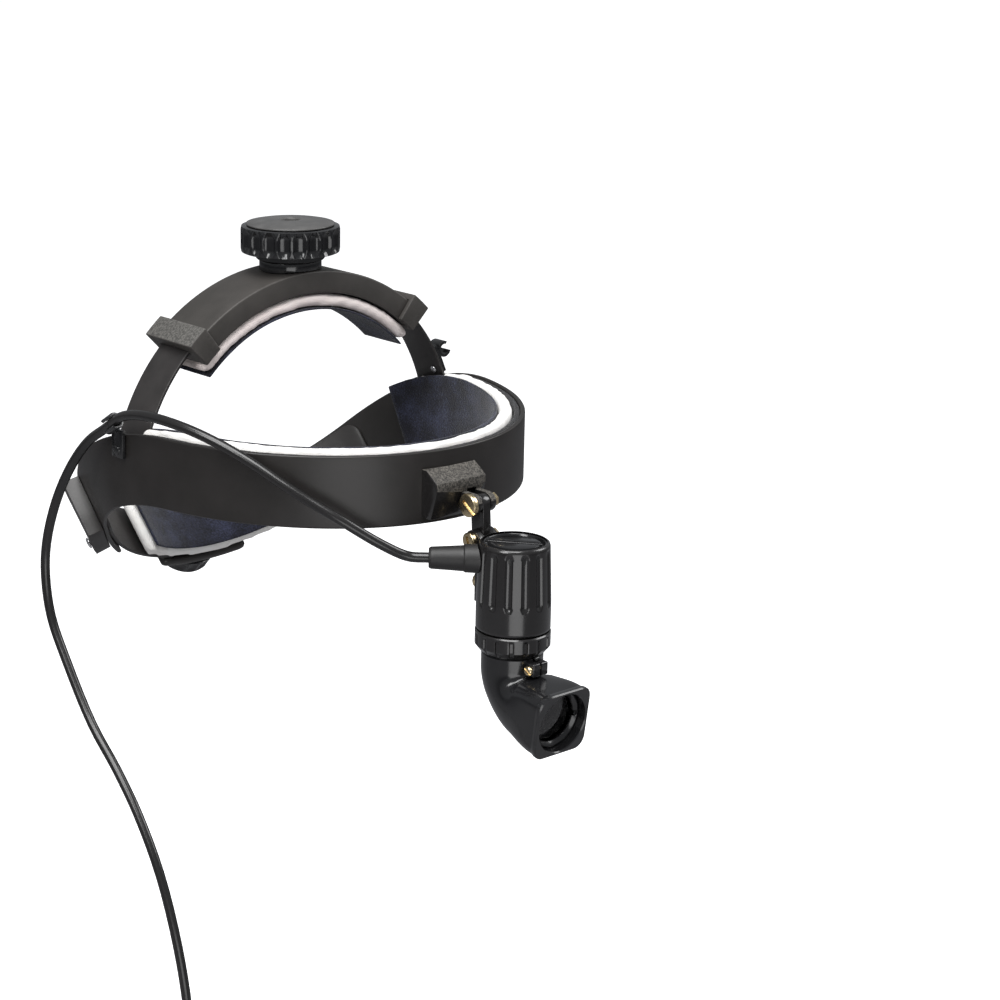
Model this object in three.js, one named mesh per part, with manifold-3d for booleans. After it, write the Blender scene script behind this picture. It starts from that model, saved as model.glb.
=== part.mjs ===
// A head-worn examination lamp: an adjustable headband with a crown strap, a two-joint
// arm on the brow, and a lamp whose beam leaves through a right-angle elbow.
//
// Millimetres, +Z up. The wearer looks along -Y and has the right hand at -X.
// The origin is the middle of the head at the height of the brow band.

import * as THREE from 'three';
import { mergeVertices } from 'three/addons/utils/BufferGeometryUtils.js';
import Module from 'manifold-3d';

const wasm = await Module();
wasm.setup();

const radians = THREE.MathUtils.degToRad;

// ---------------------------------------------------------------- sizes

const GAP = 0.3; // air between pieces that rest on each other
const RUN = 0.2; // air between a pin and the hole that it turns in
const FINE = 24; // sides of a large round piece
const COARSE = 12; // sides of a small one

// Ring around the head: an ellipse whose rear half is bent down towards the nape
const RING_HALF_WIDTH = 91;
const RING_HALF_DEPTH = 107.6;
const BAND_HEIGHT = 30;
const REAR_TILT = radians(46.5);
const BEND_RADIUS = 105;
const BEND_MIDDLE_Y = 19;
const BAND_STEP = 5; // degrees from one flat facet of the band to the next
const SHELL_WALL = 2;
const SHELL_END = 140; // degrees from the brow, each way
const FELT_THICK = 2.5;
const FOAM_THICK = 6.5;
const LINING_THICK = 1.2;
const FOAM_RISE = 1.5; // foam stands this far above the shell
const PAD_END = 104; // degrees from the brow where the front pad ends

// Rear straps, nape pad and the ratchet that tightens them
const REAR_STRAP_THICK = 1.6;
const REAR_STRAP_HEIGHT = 26;
const REAR_STRAP_END = 120; // degrees from the brow where each strap's free end lies
const NAPE_PAD_START = 150;
const NAPE_FOAM_THICK = 7;
const REAR_HOUSING_SPAN = 15; // degrees each side of the nape
const REAR_HOUSING_DEPTH = 5;
const REAR_KNOB_RADIUS = 15.5;
const REAR_KNOB_HEIGHT = 8;
const KEEPER_START = 120.5;
const KEEPER_END = 133;
const KEEPER_THICK = 7;
const GUIDE_ANGLE = 127;
const GUIDE_RADIUS = 2;

// Crown strap: two arc-shaped straps run in a channel over the head
const CROWN_Y = 5;
const CROWN_CENTRE_Z = -18.6;
const STRAP_THICK = 1.4;
const STRAP_WIDTH = 20;
const STRAP_POCKET = 1.3; // room between a strap and the shell at the temple
const STRAP_FOOT = 84; // degrees from the top where a strap ends
const CROWN_WIDTH = 28;
const CROWN_WALL = 1.6;
const CROWN_DEPTH = 9.6;
const CROWN_HALF_SPAN = 42; // degrees each side of the top
const CROWN_FOAM_THICK = 6;
const CROWN_PAD_HALF_SPAN = 46;
const COLLAR_THICK = 3.2;
const COLLAR_OVERHANG = 2.5;

// Knobs, shafts and pinions
const CROWN_KNOB_RADIUS = 21.5;
const CROWN_KNOB_HEIGHT = 11.5;
const KNOB_COLLAR_RADIUS = 13.6;
const KNOB_COLLAR_HEIGHT = 3.6;
const KNOB_NECK_HEIGHT = 3;
const SHAFT_RADIUS = 3;
const PINION_RADIUS = 5;
const PINION_HEIGHT = 4;
const PINION_TEETH = 10;
const RACK_EDGE = PINION_RADIUS + GAP; // a rack's teeth stop this far from the pinion's axis
const RACK_TOOTH = 1.4;

// Lamp bracket on the brow, and the arm
const BRACKET_WIDTH = 26;
const BRACKET_MIDDLE_X = -6; // the arm stays on the wearer's middle
const BRACKET_DEPTH = 7;
const BRACKET_TOP = 8;
const BRACKET_BOTTOM = -12;
const EAR_INSIDE = 2.3;
const EAR_THICK = 2.7;
const EAR_RADIUS = 4;
const ARM_PIVOT = new THREE.Vector2(-119.5, -6); // Y and Z of the upper pivot
const LAMP_PIVOT = new THREE.Vector2(-120.5, -20.5); // Y and Z of the lower pivot
const PIN_RADIUS = 1.6;
const SCREW_HEAD_RADIUS = 4.8;
const SCREW_HEAD_THICK = 2.2;
const LOWER_HEAD_RADIUS = 3.4;

// Lamp barrel, focus ring and elbow
const LAMP_Y = -140;
const BARREL_TOP = -17;
const BARREL_BOTTOM = -53;
const BARREL_RADIUS = 15;
const BARREL_WALL = 1.6;
const NECK_RADIUS = 10.8;
const NECK_WALL = 1.3;
const FOCUS_BOTTOM = -62.3;
const ELBOW_RADIUS = 12.5;
const ELBOW_WALL = 1.3;
const ELBOW_BEND_START = -68.5;
const ELBOW_BEND_RADIUS = 14;
const ELBOW_BEND = radians(82);
const MOUTH_RUN = 15;
const MOUTH_HALF = 13.3;
const MOUTH_CORNER = 5;
const BEZEL_THICK = 3;
const MOUTH_BORE = 12;
const LENS_DEPTH = 6; // the front lens lies this far inside the mouth
const MOUNT_PLATE_THICK = 2.4;

// Cord and what is on it
const CORD_RADIUS = 2.1;
const CORD_SIDES = 8;
const BOOT_DIRECTION = new THREE.Vector3(-0.75, 0.66, 0).normalize();
const BOOT_Z = -24.6;
const BOOT_LENGTH = 19;
const COIL_RADIUS = 23;
const COIL_SECTION = 6.8;
const COIL_CENTRE = new THREE.Vector3(-103, -62, -292);
const PLUG_RADIUS = 5.2;
const PLUG_SLEEVE = 14;
const PLUG_LENGTH = 17;
const PLUG_NUT = 9;
const TIE_ANGLE = 55; // from the top of the coil, towards the back

// The cord's route, from the lamp's strain relief over the brow band to the temple clip
const LEAD_POINTS = [
  [-25.8, -117.3, -24.6],
  [-31.6, -112.3, -24.2],
  [-41.5, -107.3, -18.6],
  [-54.7, -97.8, -8.4],
  [-63.2, -87.4, -1.0],
  [-69.0, -80.0, 4.4],
  [-76.2, -68.6, 12.0],
  [-83.2, -55.6, 18.6],
  [-89.2, -41.0, 23.0],
  [-93.4, -23.6, 24.6],
  [-94.8, -10.9, 23.2],
  [-95.2, -3.2, 20.6],
  [-95.25, 2.57, 16.98],
];

// From the clip it falls in a loop behind the ear and hangs down to its coil
const TAIL_POINTS = [
  [-95.25, 2.83, 16.82],
  [-95.3, 8.6, 13.2],
  [-97.0, 17.6, 6.8],
  [-99.4, 27.6, -5.4],
  [-101.6, 37.6, -23.6],
  [-103.0, 44.0, -43.6],
  [-103.6, 44.6, -58.2],
  [-103.8, 40.6, -75.6],
  [-103.6, 29.0, -93.6],
  [-103.2, 10.6, -116.6],
  [-103.0, -7.6, -131.6],
  [-102.8, -22.6, -146.6],
  [-102.8, -38.6, -168.6],
  [-102.9, -51.0, -196.6],
  [-103.0, -58.6, -228.6],
  [-103.0, -61.6, -252.6],
  [-103.0, -62.0, -261.9],
];

// ---------------------------------------------------------------- helpers

// Welds a geometry into one closed mesh whose faces point out.
function closed(geometry) {
  const bare = geometry.clone();
  bare.deleteAttribute('normal');
  bare.deleteAttribute('uv');
  const welded = mergeVertices(bare, 1e-4);
  const at = welded.getAttribute('position');
  const index = welded.getIndex().array;
  const kept = [];
  let volume = 0;
  const [a, b, c] = [new THREE.Vector3(), new THREE.Vector3(), new THREE.Vector3()];
  for (let i = 0; i < index.length; i += 3) {
    const [p, q, r] = [index[i], index[i + 1], index[i + 2]];
    if (p === q || q === r || r === p) continue;
    kept.push(p, q, r);
    a.fromBufferAttribute(at, p);
    b.fromBufferAttribute(at, q);
    c.fromBufferAttribute(at, r);
    volume += a.dot(b.cross(c));
  }
  if (volume < 0) kept.reverse();
  welded.setIndex(kept);
  return welded;
}

function toManifold(geometry) {
  const mesh = closed(geometry);
  return new wasm.Manifold(new wasm.Mesh({
    numProp: 3,
    vertProperties: new Float32Array(mesh.getAttribute('position').array),
    triVerts: new Uint32Array(mesh.getIndex().array),
  }));
}

function toGeometry(manifold) {
  const mesh = manifold.getMesh();
  const geometry = new THREE.BufferGeometry();
  geometry.setAttribute('position', new THREE.BufferAttribute(mesh.vertProperties, 3));
  geometry.setIndex(Array.from(mesh.triVerts));
  return geometry;
}

function cut(body, ...tools) {
  let solid = toManifold(body);
  for (const tool of tools) solid = solid.subtract(toManifold(tool));
  return toGeometry(solid);
}

function join(body, ...others) {
  let solid = toManifold(body);
  for (const other of others) solid = solid.add(toManifold(other));
  return toGeometry(solid);
}

function common(body, other) {
  return toGeometry(toManifold(body).intersect(toManifold(other)));
}

// Turned about +Z. The outline is a list of [radius, height].
function turned(outline, segments = FINE) {
  const points = outline.map(([r, h]) => new THREE.Vector2(r, h));
  return closed(new THREE.LatheGeometry(points, segments).rotateX(Math.PI / 2));
}

function disc(radius, low, high, segments = FINE) {
  return turned([[0, low], [radius, low], [radius, high], [0, high]], segments);
}

function tube(inner, outer, low, high, segments = FINE) {
  return turned([[inner, low], [outer, low], [outer, high], [inner, high], [inner, low]], segments);
}

// A rod along +X between two X values.
function crossRod(radius, from, to, y, z, segments = COARSE) {
  return disc(radius, from, to, segments).rotateY(Math.PI / 2).translate(0, y, z);
}

function block(x0, x1, y0, y1, z0, z1) {
  return new THREE.BoxGeometry(x1 - x0, y1 - y0, z1 - z0)
    .translate((x0 + x1) / 2, (y0 + y1) / 2, (z0 + z1) / 2);
}

// A slice of a ring about the crown's axis, from one angle to another, both from the top,
// positive towards the wearer's left (+X).
function arch(inner, outer, fromDegrees, toDegrees, y0, y1, segments = 12) {
  const start = Math.PI / 2 - radians(toDegrees);
  const end = Math.PI / 2 - radians(fromDegrees);
  const shape = new THREE.Shape();
  shape.absarc(0, 0, outer, start, end, false);
  shape.absarc(0, 0, inner, end, start, true);
  const options = { depth: y1 - y0, bevelEnabled: false, curveSegments: segments };
  return closed(new THREE.ExtrudeGeometry(shape, options)
    .rotateX(Math.PI / 2)
    .translate(0, y1, CROWN_CENTRE_Z));
}

// A point on the band's curve. degrees runs from the brow towards the wearer's right, out is
// the distance outside the shell's outer face and up the height above the band's middle.
function bandCurve(degrees, out, up) {
  const angle = radians(degrees);
  const normal = new THREE.Vector2(
    -Math.sin(angle) / RING_HALF_WIDTH,
    -Math.cos(angle) / RING_HALF_DEPTH,
  ).normalize();
  const x = -RING_HALF_WIDTH * Math.sin(angle) + normal.x * out;
  const along = -RING_HALF_DEPTH * Math.cos(angle) + normal.y * out - BEND_MIDDLE_Y;
  const lead = BEND_RADIUS * Math.tan(REAR_TILT / 2);
  const tilt = THREE.MathUtils.clamp((along + lead) / BEND_RADIUS, 0, REAR_TILT);
  const before = Math.min(along + lead, 0);
  const beyond = Math.max(along + lead - BEND_RADIUS * REAR_TILT, 0);
  const y = before + BEND_RADIUS * Math.sin(tilt) + beyond * Math.cos(tilt) - lead;
  const z = BEND_RADIUS * (Math.cos(tilt) - 1) - beyond * Math.sin(tilt);
  return new THREE.Vector3(
    x,
    BEND_MIDDLE_Y + y + up * Math.sin(tilt),
    z + up * Math.cos(tilt),
  );
}

// The same point on the band's flat facets, where every strip keeps its gap to the next.
function bandPoint(degrees, out, up) {
  const facet = Math.floor(degrees / BAND_STEP);
  const start = bandCurve(facet * BAND_STEP, out, up);
  const end = bandCurve((facet + 1) * BAND_STEP, out, up);
  return start.lerp(end, degrees / BAND_STEP - facet);
}

// A strip of the band between two angles, two distances from the shell's outer face and
// two heights.
function bandStrip(from, to, inside, outside, low, high) {
  const angles = [from];
  const first = Math.floor(from / BAND_STEP) + 1;
  for (let facet = first; facet * BAND_STEP < to; facet += 1) angles.push(facet * BAND_STEP);
  angles.push(to);
  const corners = [[inside, low], [outside, low], [outside, high], [inside, high]];
  const positions = [];
  for (const degrees of angles) {
    for (const [out, up] of corners) positions.push(...bandPoint(degrees, out, up).toArray());
  }

  // Inner and outer face are split along the same diagonal, so that nested strips stay clear
  const steps = angles.length - 1;
  const index = [];
  for (let i = 0; i < steps; i += 1) {
    for (let k = 0; k < 4; k += 1) {
      const [a, b] = [4 * i + k, 4 * i + ((k + 1) % 4)];
      if (k === 1) index.push(a, b, a + 4, b, b + 4, a + 4);
      else index.push(a, b, b + 4, a, b + 4, a + 4);
    }
  }
  const last = 4 * steps;
  index.push(0, 2, 1, 0, 3, 2, last, last + 1, last + 2, last, last + 2, last + 3);
  const geometry = new THREE.BufferGeometry();
  geometry.setAttribute('position', new THREE.Float32BufferAttribute(positions, 3));
  geometry.setIndex(index);
  return closed(geometry);
}

// A fluted grip about +Z, with a rounded rim.
function flutedGrip(radius, height, flutes, bore, low) {
  const shape = new THREE.Shape();
  const rim = 1;
  const depth = 1.3;
  const perFlute = 3;
  for (let i = 0; i < flutes * perFlute; i += 1) {
    const angle = (2 * Math.PI * i) / (flutes * perFlute);
    const wave = Math.max(0, Math.cos((i / perFlute) * 2 * Math.PI));
    const r = radius - rim - depth * wave;
    if (i === 0) shape.moveTo(r, 0);
    else shape.lineTo(r * Math.cos(angle), r * Math.sin(angle));
  }
  shape.closePath();
  const options = {
    depth: height - 2 * rim,
    bevelEnabled: true,
    bevelSize: rim,
    bevelThickness: rim,
    bevelSegments: 1,
    curveSegments: 1,
  };
  const grip = new THREE.ExtrudeGeometry(shape, options).translate(0, 0, low + rim);
  return cut(grip, disc(bore, low - 1, low + height + 1));
}

// A toothed wheel about +Z.
function toothedWheel(tip, teeth, low, high) {
  const shape = new THREE.Shape();
  const root = tip - 1.2;
  const profile = [[-0.22, tip], [0.22, tip], [0.3, root], [0.7, root]];
  for (let tooth = 0; tooth < teeth; tooth += 1) {
    for (const [share, r] of profile) {
      const angle = (2 * Math.PI * (tooth + share)) / teeth;
      if (tooth === 0 && share < 0) shape.moveTo(r * Math.cos(angle), r * Math.sin(angle));
      else shape.lineTo(r * Math.cos(angle), r * Math.sin(angle));
    }
  }
  shape.closePath();
  const options = { depth: high - low, bevelEnabled: false };
  return closed(new THREE.ExtrudeGeometry(shape, options).translate(0, 0, low));
}

// A flat plate in the YZ plane between two X values, from an outline of [y, z] points.
function sidePlate(outline, x0, x1) {
  const shape = new THREE.Shape(outline.map(([y, z]) => new THREE.Vector2(y, z)));
  const options = { depth: x1 - x0, bevelEnabled: false };
  return closed(new THREE.ExtrudeGeometry(shape, options)
    .rotateY(Math.PI / 2)
    .rotateX(Math.PI / 2)
    .translate(x0, 0, 0));
}

// A plate with a round end at each of two points in the YZ plane.
function linkPlate(start, end, radius, x0, x1) {
  const angle = Math.atan2(end.y - start.y, end.x - start.x);
  const outline = [];
  const arcSteps = 12;
  for (let side = 0; side < 2; side += 1) {
    const centre = side === 0 ? end : start;
    for (let i = 0; i <= arcSteps; i += 1) {
      const a = angle - Math.PI / 2 + Math.PI * side + (Math.PI * i) / arcSteps;
      outline.push([centre.x + radius * Math.cos(a), centre.y + radius * Math.sin(a)]);
    }
  }
  return sidePlate(outline, x0, x1);
}

// The cord: a round tube along its chosen points.
function cordTube(points, steps) {
  const path = new THREE.CatmullRomCurve3(points.map((p) => new THREE.Vector3(...p)));
  const section = new THREE.Shape();
  section.absarc(0, 0, CORD_RADIUS, 0, 2 * Math.PI, false);
  const options = { steps, extrudePath: path, curveSegments: CORD_SIDES / 2 };
  return closed(new THREE.ExtrudeGeometry(section, options));
}

const group = new THREE.Group();

const FINISHES = {
  shell: { color: 0x1b1918, roughness: 0.45, metalness: 0 },
  glossBlack: { color: 0x0c0c0d, roughness: 0.25, metalness: 0 },
  matteBlack: { color: 0x151516, roughness: 0.75, metalness: 0 },
  crownGrey: { color: 0x2b2927, roughness: 0.6, metalness: 0 },
  roughGrey: { color: 0x55534f, roughness: 0.8, metalness: 0 },
  felt: { color: 0x0b0b0c, roughness: 1, metalness: 0 },
  foam: { color: 0xe9e6e2, roughness: 1, metalness: 0 },
  pinkFoam: { color: 0xe6d6d3, roughness: 1, metalness: 0 },
  velour: { color: 0x14162c, roughness: 1, metalness: 0 },
  brass: { color: 0xb99a62, roughness: 0.35, metalness: 1 },
  steel: { color: 0xc4c6c8, roughness: 0.3, metalness: 1 },
  aluminium: { color: 0x9da0a3, roughness: 0.45, metalness: 1 },
  rubber: { color: 0x19191a, roughness: 0.65, metalness: 0 },
  glass: { color: 0xdfe8ea, roughness: 0.05, metalness: 0 },
  board: { color: 0x20301f, roughness: 0.6, metalness: 0 },
  emitter: { color: 0xf2e9a8, roughness: 0.5, metalness: 0 },
};

function add(name, geometry, finish, parent = group) {
  const mesh = new THREE.Mesh(closed(geometry), new THREE.MeshStandardMaterial(FINISHES[finish]));
  mesh.name = name;
  parent.add(mesh);
  return mesh;
}

const SIDES = [
  { name: 'right', sign: -1 },
  { name: 'left', sign: 1 },
];

// ---------------------------------------------------------------- front of the ring

const halfBand = BAND_HEIGHT / 2;
const feltOut = -SHELL_WALL - GAP;
const foamOut = feltOut - FELT_THICK - GAP;
const liningOut = foamOut - FOAM_THICK - GAP;
const strapRadius = RING_HALF_WIDTH - SHELL_WALL - STRAP_POCKET - STRAP_THICK / 2;
const strapFootZ = CROWN_CENTRE_Z + strapRadius * Math.cos(radians(STRAP_FOOT));

// Room for the two crown straps between the shell and the pad
function strapPocket(sign) {
  const inner = strapRadius - STRAP_THICK / 2 - GAP;
  const halfWidth = STRAP_WIDTH / 2 + GAP;
  const reach = [30, 100].map((angle) => sign * angle).sort((a, b) => a - b);
  const ring = arch(inner, inner + 30, ...reach, CROWN_Y - halfWidth, CROWN_Y + halfWidth);
  const floor = strapFootZ - 1.5;
  const above = block(-200, 200, CROWN_Y - 30, CROWN_Y + 30, floor, 100);
  return common(ring, above);
}

function addFront() {
  const guideSlots = [-1, 1].map((sign) => {
    const ends = [KEEPER_START + 0.4, GUIDE_ANGLE + 1.9].map((a) => a * sign).sort((a, b) => a - b);
    return bandStrip(...ends, -SHELL_WALL - 1, 1, -GUIDE_RADIUS - 0.6, GUIDE_RADIUS + 0.6);
  });
  const shell = bandStrip(-SHELL_END, SHELL_END, -SHELL_WALL, 0, -halfBand, halfBand);
  add('front_shell', cut(shell, ...guideSlots), 'shell');

  const pockets = [strapPocket(-1), strapPocket(1)];
  const feltTop = halfBand - 1;
  const felt = bandStrip(-PAD_END, PAD_END, feltOut - FELT_THICK, feltOut, -halfBand + 1, feltTop);
  add('front_felt', cut(felt, ...pockets), 'felt');

  const foamTop = halfBand + FOAM_RISE;
  const foam = bandStrip(-PAD_END, PAD_END, foamOut - FOAM_THICK, foamOut, -halfBand, foamTop);
  add('front_foam', cut(foam, ...pockets), 'foam');

  const lining = bandStrip(
    -PAD_END, PAD_END, liningOut - LINING_THICK, liningOut, -halfBand, foamTop - 0.8,
  );
  add('front_lining', lining, 'velour');

  // A peg on the shell inside each temple holds the foot of a crown strap
  const pegZ = strapFootZ + 6;
  for (const { name, sign } of SIDES) {
    const root = sign * (RING_HALF_WIDTH - SHELL_WALL - GAP - 0.05);
    const tip = sign * (strapRadius - STRAP_THICK / 2);
    const peg = crossRod(2, Math.min(root, tip), Math.max(root, tip), CROWN_Y, pegZ);
    add(`temple_peg_${name}`, peg, 'steel');
  }
}

// ---------------------------------------------------------------- rear of the ring

const rearStrapOut = feltOut;
const rearStrapIn = rearStrapOut - REAR_STRAP_THICK;
const napeFoamOut = rearStrapIn - GAP - 1.2 - GAP;

// Places a piece made about +Z so that +Z points out of the band at an angle.
function onBand(geometry, degrees, out, up) {
  const here = bandPoint(degrees, out, up);
  const normal = bandPoint(degrees, out + 1, up).sub(here).normalize();
  const turn = new THREE.Quaternion().setFromUnitVectors(new THREE.Vector3(0, 0, 1), normal);
  return geometry.applyQuaternion(turn).translate(here.x, here.y, here.z);
}

function addRear() {
  const halfHeight = REAR_STRAP_HEIGHT / 2;
  for (const { name, sign } of SIDES) {
    // The degrees grow towards the wearer's right, so the left side is mirrored
    const angle = (degrees) => -sign * degrees;
    const span = (a, b) => [angle(a), angle(b)].sort((p, q) => p - q);
    const pastNape = 180 + REAR_HOUSING_SPAN - 3;
    const nearNape = 180 - REAR_HOUSING_SPAN + 1;
    const low = -halfHeight;

    // The strap narrows to a rack beside the pinion: the right one above it, the left below
    let strap = bandStrip(...span(REAR_STRAP_END, pastNape), rearStrapIn, rearStrapOut, low, halfHeight);
    const spare = sign < 0
      ? bandStrip(...span(nearNape, 200), rearStrapIn - 1, rearStrapOut + 1, low - 1, RACK_EDGE)
      : bandStrip(...span(nearNape, 200), rearStrapIn - 1, rearStrapOut + 1, -RACK_EDGE, halfHeight + 1);
    const corner = 7;
    const tipCuts = [-1, 1].map((side) => {
      const square = bandStrip(
        ...span(REAR_STRAP_END - 1, REAR_STRAP_END + 4.5), rearStrapIn - 1, rearStrapOut + 1,
        side > 0 ? halfHeight - corner : -halfHeight - 1,
        side > 0 ? halfHeight + 1 : -halfHeight + corner,
      );
      const pivot = disc(corner, -4, 4);
      const rounding = onBand(
        pivot, angle(REAR_STRAP_END + 4.5), rearStrapIn, side * (halfHeight - corner),
      );
      return cut(square, rounding);
    });
    const hole = onBand(disc(GUIDE_RADIUS + RUN, -5, 5, COARSE), angle(GUIDE_ANGLE), rearStrapIn, 0);
    strap = cut(strap, spare, hole, ...tipCuts);
    add(`rear_strap_${name}`, strap, 'shell');

    // A headed pin on the strap runs in the shell's slot, under the keeper
    const pin = turned([
      [0, -1.3], [3.5, -1.3], [3.5, -GAP], [GUIDE_RADIUS, -GAP],
      [GUIDE_RADIUS, REAR_STRAP_THICK + SHELL_WALL + 3], [0, REAR_STRAP_THICK + SHELL_WALL + 3],
    ], COARSE);
    add(`guide_pin_${name}`, onBand(pin, angle(GUIDE_ANGLE), rearStrapIn, 0), 'steel');

    const slab = bandStrip(
      ...span(KEEPER_START, KEEPER_END), GAP, GAP + KEEPER_THICK, -halfBand, halfBand - 2,
    );
    const hollow = bandStrip(
      ...span(KEEPER_START + 1.2, GUIDE_ANGLE + 2.4), -1, 5, -GUIDE_RADIUS - 1.2, GUIDE_RADIUS + 1.2,
    );
    const rivetUp = -halfBand + 5;
    const rivetHole = onBand(disc(1.7, -2, 12, COARSE), angle(KEEPER_END - 2), 0, rivetUp);
    add(`keeper_${name}`, cut(slab, hollow, rivetHole), 'matteBlack');

    // A rivet holds the keeper on the shell
    const rivet = turned([
      [0, GAP + 0.1], [1.5, GAP + 0.1], [1.5, KEEPER_THICK + 2 * GAP],
      [2.8, KEEPER_THICK + 2 * GAP], [2.2, KEEPER_THICK + 1.6], [0, KEEPER_THICK + 1.9],
    ], COARSE);
    add(`keeper_rivet_${name}`, onBand(rivet, angle(KEEPER_END - 2), 0, rivetUp), 'steel');
  }

  // Ratchet housing at the nape: a cover outside the racks and a plate inside them
  const span = [180 - REAR_HOUSING_SPAN, 180 + REAR_HOUSING_SPAN];
  const coverIn = rearStrapOut + GAP;
  const cover = bandStrip(...span, coverIn, coverIn + REAR_HOUSING_DEPTH, -halfBand, halfBand);
  const shaftHole = onBand(disc(SHAFT_RADIUS + RUN, -10, 12), 180, 0, 0);
  add('rear_housing', cut(cover, shaftHole), 'matteBlack');
  const plate = bandStrip(...span, rearStrapIn - GAP - 1.2, rearStrapIn - GAP, -halfHeight, halfHeight);
  add('rear_back_plate', plate, 'matteBlack');

  const padSpan = [NAPE_PAD_START, 360 - NAPE_PAD_START];
  const padLow = -halfBand - 1;
  const foam = bandStrip(...padSpan, napeFoamOut - NAPE_FOAM_THICK, napeFoamOut, padLow, halfBand);
  add('nape_foam', foam, 'foam');
  const liningEdge = napeFoamOut - NAPE_FOAM_THICK - GAP;
  const lining = bandStrip(...padSpan, liningEdge - LINING_THICK, liningEdge, padLow + 0.8, halfBand - 0.8);
  add('nape_lining', lining, 'velour');

  // Knob: a fluted grip with a cap, on a shaft whose pinion lies between the racks
  const coverOut = coverIn + REAR_HOUSING_DEPTH;
  const pinionLow = rearStrapIn;
  const knobLow = coverOut + GAP;
  const knobHigh = knobLow + REAR_KNOB_HEIGHT;
  const wheel = toothedWheel(PINION_RADIUS, PINION_TEETH, pinionLow, rearStrapOut);
  const shaft = disc(SHAFT_RADIUS, pinionLow, knobHigh - 2);
  add('rear_knob_shaft', onBand(join(wheel, shaft), 180, 0, 0), 'steel');
  const grip = flutedGrip(REAR_KNOB_RADIUS, REAR_KNOB_HEIGHT, 16, SHAFT_RADIUS + GAP, knobLow);
  add('rear_knob_grip', onBand(grip, 180, 0, 0), 'glossBlack');
  const cap = turned([
    [0, knobHigh + GAP], [13.2, knobHigh + GAP], [13.2, knobHigh + 1],
    [9, knobHigh + 1.9], [0, knobHigh + 2.3],
  ]);
  add('rear_knob_cap', onBand(cap, 180, 0, 0), 'shell');
}

// ---------------------------------------------------------------- crown

const crownOuter = strapRadius + STRAP_THICK / 2 + 0.4 + CROWN_WALL;
const crownInner = crownOuter - CROWN_DEPTH;
const crownTopZ = CROWN_CENTRE_Z + crownOuter;

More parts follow.
